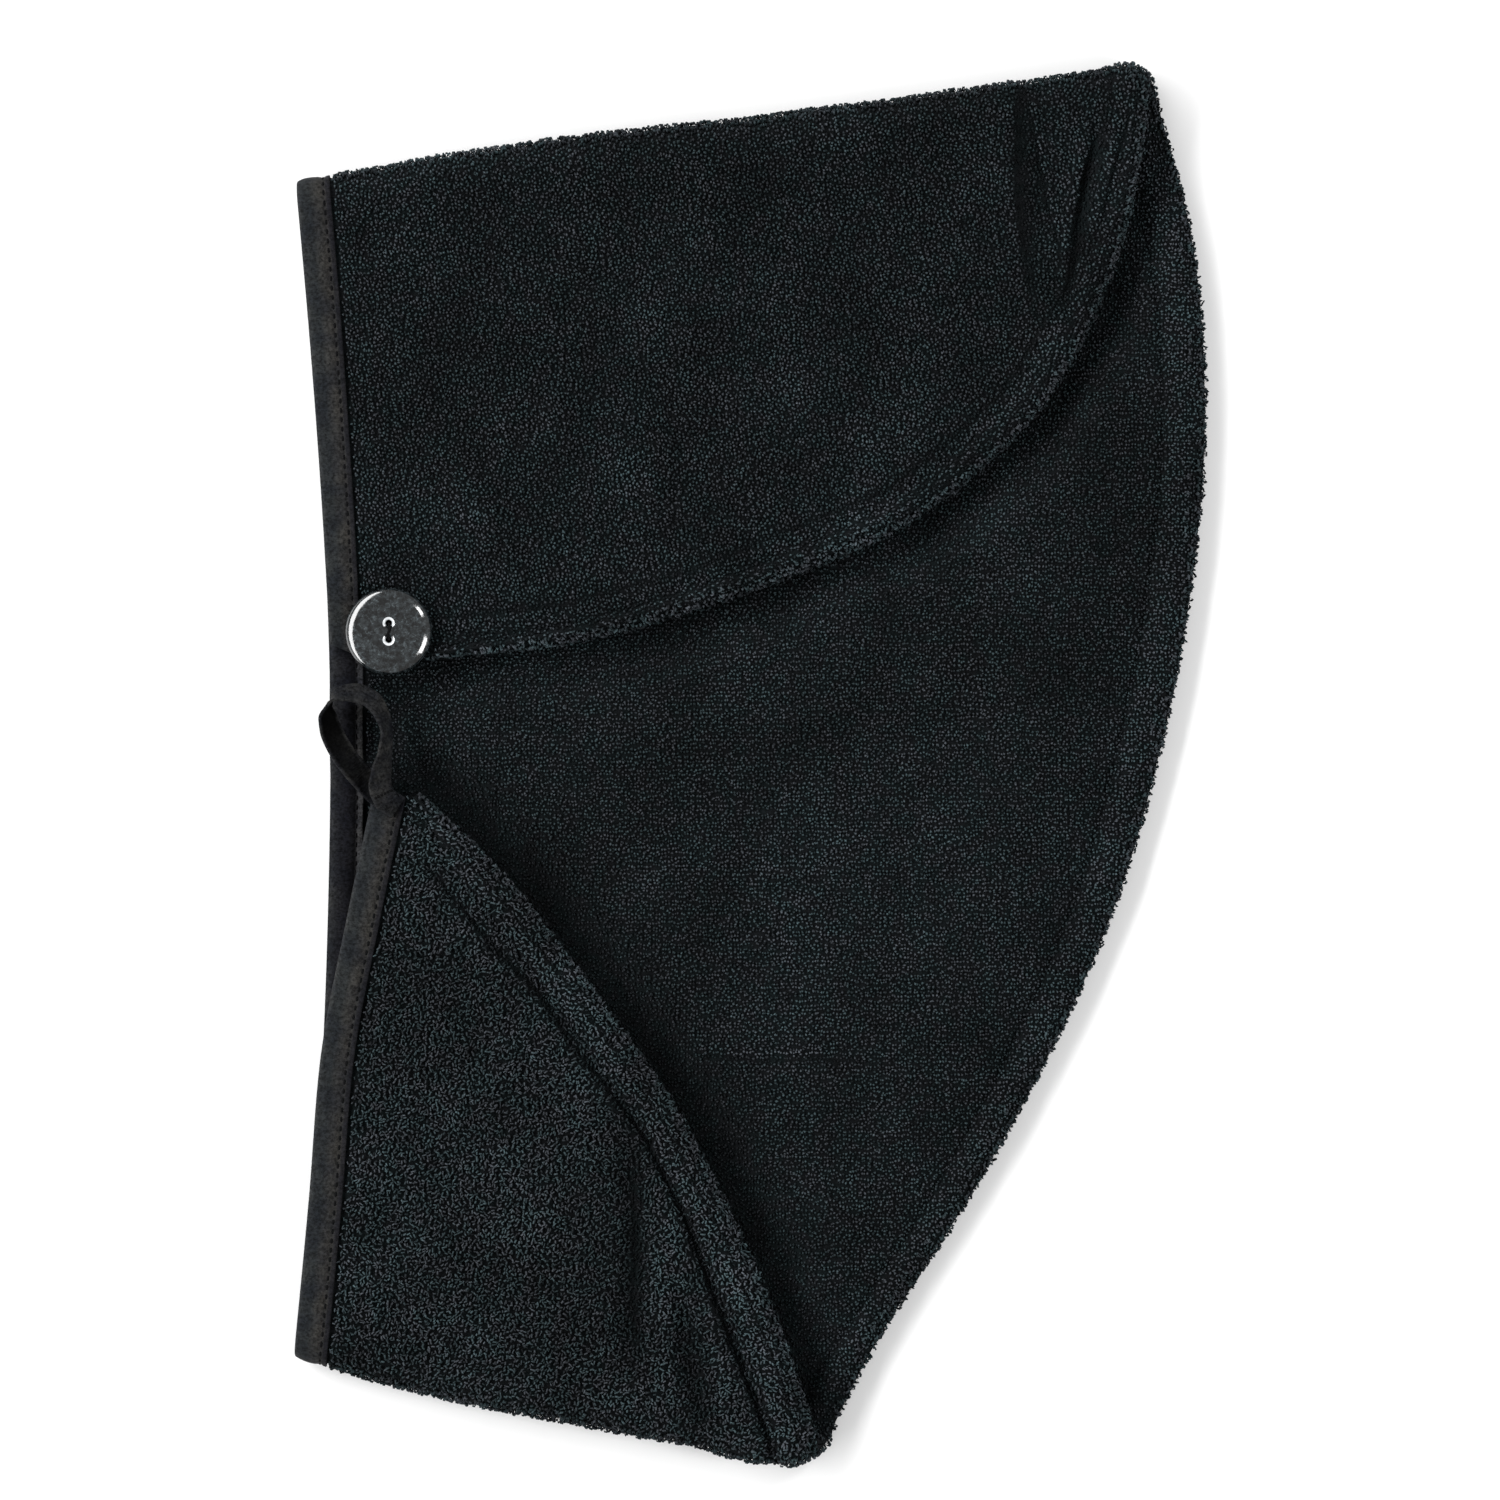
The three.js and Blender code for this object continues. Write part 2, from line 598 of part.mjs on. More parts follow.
// The button about its own middle: a rounded rim round a shallow dish, and two countersunk holes.
function buttonGeometry() {
  const radius = BUTTON_DIAMETER / 2;
  const half = BUTTON_THICKNESS / 2;
  const flat = radius - BUTTON_EDGE_ROUND;
  const disc = turned(
    [
      [0, -half],
      [flat - BUTTON_RIM_WIDTH / 2, -half],
      [flat, -half + BUTTON_EDGE_ROUND * 0.3],
      [radius, -half + BUTTON_EDGE_ROUND],
      [radius, half - BUTTON_EDGE_ROUND],
      [radius - BUTTON_EDGE_ROUND * 0.3, half - BUTTON_EDGE_ROUND * 0.3],
      [flat, half],
      [radius - BUTTON_RIM_WIDTH + BUTTON_DISH / 2, half - BUTTON_DISH * 0.2],
      [radius - BUTTON_RIM_WIDTH, half - BUTTON_DISH],
      [0, half - BUTTON_DISH],
    ],
    32,
  );
  const face = half - BUTTON_DISH;
  const bore = turned(
    [
      [0, -half - 1],
      [HOLE_DIAMETER / 2, -half - 1],
      [HOLE_DIAMETER / 2, face - COUNTERSINK_DEPTH],
      [COUNTERSINK_DIAMETER / 2, face],
      [COUNTERSINK_DIAMETER / 2, half + 1],
      [0, half + 1],
    ],
    14,
  );
  return [-1, 1].reduce((body, side) => {
    const hole = bore.clone().translate(0, (side * HOLE_SPACING) / 2, 0);
    return geometryOf(solid(body).subtract(solid(hole)));
  }, disc);
}

// The sewing thread about the button's middle: up one hole, over the bridge and down the other.
function threadGeometry() {
  const foot = -BUTTON_THICKNESS / 2 - BUTTON_STANDOFF + CLEARANCE + THREAD_DIAMETER / 4;
  const crest = BUTTON_THICKNESS / 2 - BUTTON_DISH + CLEARANCE + THREAD_DIAMETER / 2;
  const half = HOLE_SPACING / 2;
  const path = new THREE.CatmullRomCurve3(
    [
      new THREE.Vector3(0, -half, foot),
      new THREE.Vector3(0, -half, 0),
      new THREE.Vector3(0, -half + THREAD_DIAMETER * 0.25, crest - THREAD_DIAMETER * 0.45),
      new THREE.Vector3(0, -half / 2, crest),
      new THREE.Vector3(0, half / 2, crest),
      new THREE.Vector3(0, half - THREAD_DIAMETER * 0.25, crest - THREAD_DIAMETER * 0.45),
      new THREE.Vector3(0, half, 0),
      new THREE.Vector3(0, half, foot),
    ],
    false,
    "centripetal",
  );
  const round = new THREE.Shape().absarc(0, 0, THREAD_DIAMETER / 2, 0, 2 * Math.PI);
  return new THREE.ExtrudeGeometry(round, { steps: 12, curveSegments: 4, extrudePath: path });
}

function material(color, roughness) {
  return new THREE.MeshStandardMaterial({ color, roughness, metalness: 0 });
}

function mesh(name, geometry, finish) {
  const part = new THREE.Mesh(geometry, finish);
  part.name = name;
  return part;
}

const cloth = new THREE.Group();
cloth.add(
  mesh("under_panel", panelGeometry("under"), material(0x1f2528, 1)),
  mesh("upper_panel", panelGeometry("upper"), material(0x1d2326, 1)),
  mesh("under_binding", bindingGeometry("under"), material(0x343637, 0.7)),
  mesh("upper_binding", bindingGeometry("upper"), material(0x303233, 0.7)),
  mesh("button_loop", loopGeometry(), material(0x2c2e2f, 0.75)),
);

const fastening = new THREE.Group();
fastening.add(
  mesh("button", buttonGeometry(), material(0x3c4043, 0.2)),
  mesh("button_thread", threadGeometry(), material(0x17181a, 0.6)),
);
fastening.position.copy(place(BUTTON_PLACE));
fastening.position.z = FLAP_TOP + BUTTON_STANDOFF + BUTTON_THICKNESS / 2;
fastening.rotation.y = THREE.MathUtils.degToRad(BUTTON_TILT);

// The origin lies in the middle of the towel's base.
const laid = new THREE.Group();
laid.add(cloth, fastening);
const base = new THREE.Box3().setFromObject(laid).getCenter(new THREE.Vector3());
laid.position.set(-base.x, -base.y, 0);

const towel = new THREE.Group();
towel.add(laid);
export default towel;
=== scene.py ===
# %% [markdown]
# # A hair turban towel, lying folded
# The object is a terry hair turban: two panels of looped towelling, sewn together along a curved seam
# and bound with smooth tape along their straight edge. Its wide head end is folded down and its
# narrow tail end is folded up, so that three layers of cloth lie one on the other.
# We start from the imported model, which gives the place and the box of every solid.

# %% Load the frame
import math
import bpy
import numpy as np
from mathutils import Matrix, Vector
from mathutils.bvhtree import BVHTree


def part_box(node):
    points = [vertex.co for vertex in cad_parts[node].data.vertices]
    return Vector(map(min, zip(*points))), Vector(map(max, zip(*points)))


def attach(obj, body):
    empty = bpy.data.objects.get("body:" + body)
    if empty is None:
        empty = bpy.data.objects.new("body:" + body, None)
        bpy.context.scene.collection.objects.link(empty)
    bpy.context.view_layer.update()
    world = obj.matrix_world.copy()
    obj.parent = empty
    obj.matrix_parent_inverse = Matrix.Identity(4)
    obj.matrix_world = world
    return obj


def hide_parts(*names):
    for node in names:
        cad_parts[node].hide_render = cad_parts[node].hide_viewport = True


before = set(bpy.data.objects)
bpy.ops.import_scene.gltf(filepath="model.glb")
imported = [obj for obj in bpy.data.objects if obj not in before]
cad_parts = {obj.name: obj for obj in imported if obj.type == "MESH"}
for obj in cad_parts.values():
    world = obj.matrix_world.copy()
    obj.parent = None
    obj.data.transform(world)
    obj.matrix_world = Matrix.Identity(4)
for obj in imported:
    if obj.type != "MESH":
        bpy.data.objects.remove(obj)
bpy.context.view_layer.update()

# %% [markdown]
# The photograph was taken from straight above, so the camera looks straight down from far away with a
# long lens. It sees a square of 435 mm, because one of the photograph's 1500 pixels is 0.29 mm here.
# Shapes below are worked out in millimetres in a frame of their own, whose middle lies a little
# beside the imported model's. The button, whose place is known in both, gives the difference.

# %% Camera
MM = 0.001
FOLDED_WIDTH = 266.0
FOLDED_LENGTH = 405.0
BUTTON_PLACE = (0.108, 0.595)
VIEW_WIDTH = 435.0
VIEW_CENTRE = (0.1, 4.2)
CAMERA_HEIGHT = 2400.0
FOLD_HEIGHT = 7.5


def place(shares):
    """Millimetres from shares of the folded size: the share less a half, times the size."""
    shares = np.asarray(shares, float)
    return (shares - 0.5) * (FOLDED_WIDTH, FOLDED_LENGTH)


button_box = np.array(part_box("button"))
SHIFT = np.append(button_box.mean(axis=0)[:2] / MM - place(BUTTON_PLACE), 0.0)
camera_data = bpy.data.cameras.new("camera")
camera_data.lens = camera_data.sensor_width * (CAMERA_HEIGHT - FOLD_HEIGHT) / VIEW_WIDTH
camera = bpy.data.objects.new("camera", camera_data)
camera.location = ((np.append(VIEW_CENTRE, CAMERA_HEIGHT) + SHIFT) * MM).tolist()
bpy.context.scene.collection.objects.link(camera)
bpy.context.scene.camera = camera
print("shift of the drawing in mm", SHIFT.round(3), "lens", round(camera_data.lens, 1))

# %% [markdown]
# A few formulas come back in every part: a vector of length one, a soft step, a bell curve, and the
# length along a line of points. They are written once here, for whole arrays at a time.

# %% Small formulas
def unit(vectors):
    """Vectors scaled to length one. The small number keeps a vector of no length at nought."""
    return vectors / (np.linalg.norm(vectors, axis=-1, keepdims=True) + 1e-9)


def smooth(t):
    """The soft step 3 t^2 - 2 t^3 between 0 and 1."""
    t = np.clip(t, 0, 1)
    return t * t * (3 - 2 * t)


def bell(distance, width):
    """The bell curve exp(-(distance / width)^2)."""
    return np.exp(-((distance / width) ** 2))


def run_length(points):
    """The length along a line of points, from its first point to each of them."""
    return np.concatenate([[0], np.cumsum(np.linalg.norm(np.diff(points, axis=0), axis=1))])


def read_along(at, length, line):
    """The line's points at the given lengths."""
    return np.stack([np.interp(at, length, column) for column in line.T], axis=-1)


# %% [markdown]
# Every piece is made as arrays of points and faces. Two helpers put them into a mesh: one takes the
# arrays as they are, and one first turns a grid of points into four-cornered cells. A closed shape
# whose cells enclose a negative volume has been wound inside out, so it is turned round.

# %% Mesh helpers
def volume(points, faces):
    """The enclosed volume: a sixth of the sum of a . (b x c) over the triangles of every face."""
    a = points[faces[:, 0]]
    total = 0.0
    for k in range(1, faces.shape[1] - 1):
        total += np.einsum("ij,ij->", a, np.cross(points[faces[:, k]], points[faces[:, k + 1]]))
    return total / 6


def add_piece(name, points, faces, material, attributes=None, uv=None):
    """A smooth-shaded mesh object from points in mm and faces with equal numbers of corners."""
    points = np.asarray(points, float)
    if volume(points, faces) < 0:
        faces = faces[:, ::-1]
    mesh = bpy.data.meshes.new(name)
    mesh.vertices.add(len(points))
    mesh.vertices.foreach_set("co", ((points + SHIFT) * MM).astype(np.float32).ravel())
    mesh.loops.add(faces.size)
    mesh.loops.foreach_set("vertex_index", faces.astype(np.int32).ravel())
    mesh.polygons.add(len(faces))
    mesh.polygons.foreach_set("loop_start", np.arange(0, faces.size, faces.shape[1], dtype=np.int32))
    mesh.update(calc_edges=True)
    mesh.shade_smooth()
    for key, values in (attributes or {}).items():
        layer = mesh.attributes.new(key, "FLOAT", "POINT")
        layer.data.foreach_set("value", np.asarray(values, np.float32))
    if uv is not None:
        layer = mesh.uv_layers.new(name="cloth")
        layer.data.foreach_set("uv", uv[faces.ravel()].astype(np.float32).ravel())
    mesh.materials.append(material)
    piece = bpy.data.objects.new(name, mesh)
    bpy.context.scene.collection.objects.link(piece)
    print(name, len(faces) * (faces.shape[1] - 2), "triangles")
    return piece


def corners(*columns):
    """Faces from the arrays of their first corners, of their second corners, and so on."""
    return np.stack(np.broadcast_arrays(*columns), axis=-1)


def grid_cells(rows, columns, start=0, closed=False):
    """The four corners of each cell of a grid of points, whose columns may close into a ring."""
    corner = start + np.arange(rows * columns).reshape(rows, columns)
    right = np.roll(corner, -1, axis=1) if closed else corner[:, 1:]
    left = corner if closed else corner[:, :-1]
    return corners(left[:-1], right[:-1], right[1:], left[1:]).reshape(-1, 4)


# %% [markdown]
# ## Finishes
# Materials are made of nodes. A helper gives the Principled shader its fixed values straight on its
# own sockets, and others add noise, colour ramps, mixes of two colours and a bump. Image textures
# could carry the same looks, but nodes have no resolution and need no file.
# The terry is almost black with a slight teal cast. Each yarn loop carries a number of its own,
# "shade", so that neighbours differ as they do on a real towel, where some loops catch the light. The
# same number carries painted light and shade: painted shade at a loop's ends and in creases, and a
# painted highlight along its crest and on ridges.

# %% Material helpers
def new_material(name, **sockets):
    """A Principled material with the given values on its sockets."""
    material = bpy.data.materials.new(name)
    material.use_nodes = True
    shader = material.node_tree.nodes["Principled BSDF"]
    for key, value in sockets.items():
        shader.inputs[key.replace("_", " ")].default_value = value
    return material, material.node_tree.links, shader


def add_node(material, kind, source=None, into="Vector", **values):
    """A node of the given kind, with values for its sockets by name and a source linked into one."""
    node = material.node_tree.nodes.new(kind)
    for key, value in values.items():
        node.inputs[key.replace("_", " ")].default_value = value
    if source is not None:
        material.node_tree.links.new(source, node.inputs[into])
    return node


def noise(material, where, scale, detail=2.0, roughness=0.5):
    """Soft noise over the given coordinates, as a number round a half."""
    return add_node(material, "ShaderNodeTexNoise", where,
                    Scale=scale, Detail=detail, Roughness=roughness).outputs["Fac"]


def bands(material, factor, stops):
    """A colour ramp through several stops, each a place between 0 and 1 and a colour."""
    ramp = add_node(material, "ShaderNodeValToRGB", factor, "Fac")
    elements = ramp.color_ramp.elements
    while len(elements) < len(stops):
        elements.new(1.0)
    for element, (at, colour) in zip(elements, stops):
        element.position = at
        element.color = (*colour, 1)
    return ramp.outputs["Color"]


def blend(material, factor, low, high, low_at=0.0, high_at=1.0):
    """A colour ramp from one colour to another as the factor goes from low_at to high_at."""
    return bands(material, factor, [(low_at, low), (high_at, high)])


def mottle(material, where, rows):
    """A colour from noise for each row: the noise's scale, detail and roughness, the colours at its
    low and high ends, and where these ends lie."""
    return [blend(material, noise(material, where, *row[:3]), *row[3:]) for row in rows]


def mix(material, kind, a, b, factor=None):
    """Two colours through a mix node of the given kind, in full or by a factor's socket."""
    node = add_node(material, "ShaderNodeMix")
    node.data_type = "RGBA"
    node.blend_type = kind
    node.inputs["Factor"].default_value = 1
    for source, socket in ((factor, "Factor"), (a, "A"), (b, "B")):
        if source is not None:
            material.node_tree.links.new(source, node.inputs[socket])
    return node.outputs["Result"]


def multiply(material, product, *others):
    """The product of several colours."""
    for other in others:
        product = mix(material, "MULTIPLY", product, other)
    return product


def map_range(material, value, **limits):
    """A number carried from one range into another."""
    return add_node(material, "ShaderNodeMapRange", value, "Value", **limits).outputs["Result"]


def bump(material, shader, height, distance, strength=1.0):
    """A bump of the given height in metres."""
    node = add_node(material, "ShaderNodeBump", height, "Height", Strength=strength, Distance=distance)
    material.node_tree.links.new(node.outputs["Normal"], shader.inputs["Normal"])


def carried(material, name):
    """A number that every point of a piece carries under the given name."""
    node = add_node(material, "ShaderNodeAttribute")
    node.attribute_name = name
    return node.outputs["Fac"]


def object_coordinates(material):
    """The piece's own coordinates, in metres."""
    return material.node_tree.nodes.new("ShaderNodeTexCoord").outputs["Object"]


# %% Terry finishes
TERRY_MOTTLING = [
    (46, 2.0, 0.5, (0.82, 0.83, 0.84), (1.15, 1.18, 1.2), 0.35, 0.65),
    (13, 3.0, 0.5, (0.88, 0.87, 0.87), (1.12, 1.14, 1.15), 0.36, 0.64),
    (210, 2.0, 0.5, (1.12, 0.97, 1.0), (0.9, 1.05, 1.03), 0.4, 0.6),
]


def terry_material(name, low, high, shade):
    """Terry yarn: a colour from dark to light by loop or by fine noise, times a wide mottling. The loop's
    number holds painted light and shade.
    """
    material, links, shader = new_material(
        name,
        Roughness=0.95,
        Specular_IOR_Level=0.06,
        Sheen_Weight=0.015,
        Sheen_Roughness=0.45,
        Sheen_Tint=(0.75, 0.95, 1.0, 1),
    )
    where = object_coordinates(material)
    factor = carried(material, shade) if shade else noise(material, where, 900, 3.0, 0.6)
    tone = blend(material, factor, low, high)
    colour = multiply(material, tone, *mottle(material, where, TERRY_MOTTLING))
    links.new(colour, shader.inputs["Base Color"])
    bump(material, shader, noise(material, where, 2600, 3.0, 0.7), 0.00018)
    return material


pile_finish = terry_material("terry_pile", (0.0008, 0.001, 0.0011), (0.078, 0.098, 0.107), "shade")
# The ground cloth is painted far darker than the yarn: painted shade for the gaps between the loops.
ground_finish = terry_material("terry_ground", (0.0011, 0.0014, 0.0015), (0.0068, 0.0088, 0.0096), None)
print("terry finishes made")

# %% [markdown]
# ## The cloth seen from above
# The outlines of the towel and of its flaps are tables of points, as shares of the folded width and
# length. A smooth curve runs through each table. The cloth between four outlines is a Coons patch:
# the two ruled ways across it, added, less the patch of its four corners. It could be pulled over a
# simulated drape instead, but the photograph fixes where each fold and free edge lies.

# %% Outline tables
BOUND_EDGE = [(0.004, 0.076), (0.016, 0.152), (0.031, 0.26), (0.04, 0.403), (0.042, 0.546),
              (0.035, 0.675), (0.023, 0.797), (0.006, 0.918)]
SEAM_EDGE = [(0.578, 0.007), (0.634, 0.081), (0.738, 0.188), (0.83, 0.296), (0.901, 0.403),
             (0.948, 0.51), (0.98, 0.618), (0.997, 0.739), (0.985, 0.868), (0.936, 0.997)]
HEAD_FOLD = [(0.006, 0.918), (0.174, 0.938), (0.337, 0.954), (0.5, 0.965), (0.664, 0.979),
             (0.816, 0.992), (0.9, 1.0), (0.936, 0.997)]
TAIL_FOLD = [(0.004, 0.076), (0.12, 0.053), (0.229, 0.037), (0.337, 0.024), (0.446, 0.011),
             (0.525, 0.0), (0.578, 0.007)]
HEAD_FLAP_BOUND_EDGE = [(0.006, 0.918), (0.022, 0.797), (0.034, 0.689), (0.043, 0.586)]
HEAD_FLAP_SEAM_EDGE = [(0.936, 0.997), (0.919, 0.912), (0.881, 0.83), (0.805, 0.747), (0.672, 0.674),
                       (0.446, 0.613), (0.3, 0.588), (0.153, 0.578)]
HEAD_FLAP_END = [(0.043, 0.586), (0.09, 0.575), (0.153, 0.578)]
TAIL_FLAP_BOUND_EDGE = [(0.004, 0.076), (0.02, 0.188), (0.034, 0.296), (0.061, 0.389), (0.089, 0.477)]
TAIL_FLAP_SEAM_EDGE = [(0.578, 0.007), (0.542, 0.079), (0.494, 0.157), (0.418, 0.255), (0.333, 0.335),
                       (0.237, 0.417), (0.174, 0.457), (0.138, 0.477)]
TAIL_FLAP_END = [(0.089, 0.477), (0.138, 0.477)]
print("points along the seam", len(SEAM_EDGE))


# %% Smooth curves and patches
def curve_point(points, t):
    """A centripetal Catmull-Rom curve: on each stretch, the cubic whose end slopes come from the
    chords weighted by the square roots of their lengths."""
    points = np.asarray(points, float)
    padded = np.vstack([2 * points[0] - points[1], points, 2 * points[-1] - points[-2]])
    at = np.clip(t, 0, 1) * (len(points) - 1)
    k = np.minimum(at.astype(int), len(points) - 2)
    p0, p1, p2, p3 = (padded[k + n] for n in range(4))
    chords = (p1 - p0, p2 - p1, p3 - p2)
    root = [np.sqrt(np.linalg.norm(chord, axis=-1, keepdims=True)) for chord in chords]
    slope_1 = root[1] * (chords[0] / root[0] - (p2 - p0) / (root[0] + root[1]) + chords[1] / root[1])
    slope_2 = root[1] * (chords[1] / root[1] - (p3 - p1) / (root[1] + root[2]) + chords[2] / root[2])
    w = (at - k)[..., None]
    cubic = 2 * p1 - 2 * p2 + slope_1 + slope_2
    square = 3 * p2 - 3 * p1 - 2 * slope_1 - slope_2
    return p1 + w * (slope_1 + w * (square + w * cubic))


def outline(table):
    """The curve through a table of shares, as a function of the share of its own length."""
    samples = curve_point(place(table), np.linspace(0, 1, 1001))
    lengths = run_length(samples)
    return lambda t: read_along(t, lengths / lengths[-1], samples)


def patch(bound, seam, near, far):
    """The Coons patch between four outlines."""
    left, right, start, end = outline(bound), outline(seam), outline(near), outline(far)
    zero, one = np.zeros(1), np.ones(1)

    def area(u, v):
        du, dv = u[..., None], v[..., None]
        across = left(v) * (1 - du) + right(v) * du
        along = start(u) * (1 - dv) + end(u) * dv
        near_corners = left(zero) * (1 - du) + right(zero) * du
        far_corners = left(one) * (1 - du) + right(one) * du
        return across + along - near_corners * (1 - dv) - far_corners * dv

    return area


MIDDLE = patch(BOUND_EDGE, SEAM_EDGE, TAIL_FOLD, HEAD_FOLD)
HEAD_FLAP = patch(HEAD_FLAP_BOUND_EDGE, HEAD_FLAP_SEAM_EDGE, HEAD_FOLD, HEAD_FLAP_END)
TAIL_FLAP = patch(TAIL_FLAP_BOUND_EDGE, TAIL_FLAP_SEAM_EDGE, TAIL_FOLD, TAIL_FLAP_END)
print("middle of the towel's middle", MIDDLE(np.array(0.5), np.array(0.5)).round(1))

# %% [markdown]
# ## From a flat plan to folded cloth
# Each panel is one strip of cloth. Its rows run from the tail's tip, round the tail fold, along the
# middle, round the head fold and on to the head end's corner. In the middle and on the flaps the
# cloth lies level. Round a fold it follows a half circle about an axis inside the fold, with a larger
# radius for the panel that lies on the table. Between the flaps the upper panel stands up a little,
# which opens the pocket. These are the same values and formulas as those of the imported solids.

# %% Sizes of the layers
TERRY_THICKNESS = 2.8
BOUND_THICKNESS = 1.0
FOLD_GAP = 3.0
FLAP_GAP = 0.8
SETTLE_LENGTH = 28.0
TURN_RADIUS = {"under": 6.1, "upper": 2.9}
FOLD_REACH = 7.5
EDGE_INSET = 0.85
POCKET_RISE = 5.2
RISE_START = 4.0
RISE_LENGTH = 14.0
SEAM_RISE_LENGTH = 40.0
TAIL, TAIL_TURN, BODY, HEAD_TURN, HEAD = range(5)
print("height of the folds' axes in mm", FOLD_HEIGHT, "and their radii", TURN_RADIUS)


# %% Rows of a panel
def panel_rows(tail, turn, body, head):
    """The zone of every row and its value: the share of a flap or of the middle, or the turn."""
    turns = np.linspace(0, math.pi, turn + 1)[1:-1]
    parts = [
        (TAIL, np.linspace(1, 0, tail + 1)),
        (TAIL_TURN, turns[::-1]),
        (BODY, np.linspace(0, 1, body + 1)),
        (HEAD_TURN, turns),
        (HEAD, np.linspace(0, 1, head + 1)),
    ]
    zones = np.concatenate([np.full(len(values), zone) for zone, values in parts])
    return zones, np.concatenate([values for _, values in parts])


def shown_share(panel, zones, values, start):
    """How far each row is in sight. The upper panel shows its middle. The under panel shows its flaps,
    and comes into sight along a turn, from the given share of the half circle on."""
    if panel == "upper":
        return (zones == BODY) + 0.0
    turn = np.where((zones == TAIL_TURN) | (zones == HEAD_TURN), values / math.pi, 1)
    return (zones != BODY) * smooth((turn - start) / 0.3)


# %% Distances to lines
def beside_stretch(points, a, b):
    """Each point's share along the straight stretch from a to b, its distance from the stretch, and
    a number that is positive on the stretch's left."""
    step, away = b - a, points - a
    along = np.clip((away @ step) / (step @ step), 0, 1)
    distance = np.linalg.norm(away - along[..., None] * step, axis=-1)
    return along, distance, step[0] * away[..., 1] - step[1] * away[..., 0]


def beside(line, points):
    """The least distance from each point to a line's straight stretches, and that stretch's heading."""
    least = np.full(points.shape[:-1], np.inf)
    heading = np.zeros(least.shape)
    for a, b in zip(line[:-1], line[1:]):
        distance = beside_stretch(points, a, b)[1]
        heading = np.where(distance < least, math.atan2(b[1] - a[1], b[0] - a[0]), heading)
        least = np.minimum(least, distance)
    return least, heading


# %% The pocket's rise
def free_edge(end, seam):
    """A flap's free edge, from level with its end, left of the towel, to the fold's far end."""
    return place([(-end[0][0], end[1][1])] + end[1:] + seam[:-1][::-1])


HEAD_FREE_EDGE = free_edge(HEAD_FLAP_END, HEAD_FLAP_SEAM_EDGE)
TAIL_FREE_EDGE = free_edge(TAIL_FLAP_END, TAIL_FLAP_SEAM_EDGE)


def pocket_rise(points, from_seam):
    """The rise times three soft steps: away from each flap's free edge and away from the seam."""
    rise = POCKET_RISE * smooth(from_seam / SEAM_RISE_LENGTH)
    for edge, side in ((HEAD_FREE_EDGE, -1), (TAIL_FREE_EDGE, 1)):
        limit = np.interp(points[..., 0], edge[:, 0], edge[:, 1])
        past = (side * (points[..., 1] - limit) > 0) | (points[..., 0] > edge[-1, 0])
        rise = rise * past * smooth((beside(edge, points)[0] - RISE_START) / RISE_LENGTH)
    return rise


print("free edges", len(HEAD_FREE_EDGE), len(TAIL_FREE_EDGE), "points")


# %% Cloth surface
def plan(zones, values, u):
    """Each point seen from above, its direction out of a fold, and how far past the fold it is."""
    point = np.zeros((*u.shape, 2))
    outwards = np.zeros((*u.shape, 2))
    past = np.zeros(u.shape)
    zero = np.zeros(u.shape)
    inner = FOLD_REACH / np.linalg.norm(MIDDLE(u, zero) - MIDDLE(u, zero + 1), axis=-1)
    value = values[:, None] + zero
    body = zones == BODY
    point[body] = MIDDLE(u, inner + (1 - 2 * inner) * value)[body]
    for flap_zone, turn_zone, area, edge in (
        (TAIL, TAIL_TURN, TAIL_FLAP, inner),
        (HEAD, HEAD_TURN, HEAD_FLAP, 1 - inner),
    ):
        length = np.linalg.norm(area(u, zero) - area(u, zero + 1), axis=-1)
        outer = FOLD_REACH / length
        rows = zones == flap_zone
        v = outer + (1 - outer) * value
        point[rows] = area(u, v)[rows]
        past[rows] = ((v - outer) * length)[rows]
        rows = zones == turn_zone
        below, above = MIDDLE(u, edge), area(u, outer)
        share = ((1 - np.cos(value)) / 2)[..., None]
        point[rows] = (below + (above - below) * share)[rows]
        away = area(u, zero) - (below + above) / 2
        outwards[rows] = unit(away)[rows]
    return point, outwards, past


def cloth(panel, zones, values, columns):
    """The middle surface of a panel. columns(width) gives each row's distances from the bound edge."""
    ends = plan(zones, values, np.broadcast_to(np.array([0.0, 1.0]), (len(zones), 2)))[0]
    span = np.linalg.norm(ends[:, 1] - ends[:, 0], axis=-1)[:, None]
    at = columns(span - EDGE_INSET)
    u = (EDGE_INSET + at) / span
    flat, outwards, past = plan(zones, values, u)
    radius = TURN_RADIUS[panel]
    turn = np.where((zones == TAIL_TURN) | (zones == HEAD_TURN), values, 0)[:, None]
    height = FOLD_HEIGHT - radius * np.cos(turn) + np.zeros(at.shape)
    flaps = (zones == TAIL) | (zones == HEAD)
    settled = (FOLD_GAP - FLAP_GAP) * (1 - np.exp(-past / SETTLE_LENGTH))
    height[flaps] = (FOLD_HEIGHT + radius - settled)[flaps]
    if panel == "upper":
        body = zones == BODY
        height[body] += pocket_rise(flat, (1 - u) * span)[body]
    flat = flat + outwards * (radius * np.sin(turn))[..., None]
    points = np.concatenate([flat, height[..., None]], axis=-1)
    return points, at, span - EDGE_INSET


def outward(points):
    """The direction out of the folds: the way along the cloth crossed with the way across it."""
    return unit(np.cross(np.gradient(points, axis=0), np.gradient(points, axis=1)))


# %% [markdown]
# ## Relief of the terry panels
# The outside of the cloth isn't level. The turned-in seam allowance makes a thick band along the
# curved seam, with a groove beside it. Folding drags the cloth into valleys and ridges that run away
# from the folds: some on the head flap near its right corner, and on the tail flap a long crease
# beside the free edge, with short ones near the fold. A height map could carry them, but each is only
# a line of points with a width and a height, and its section is a bell curve.

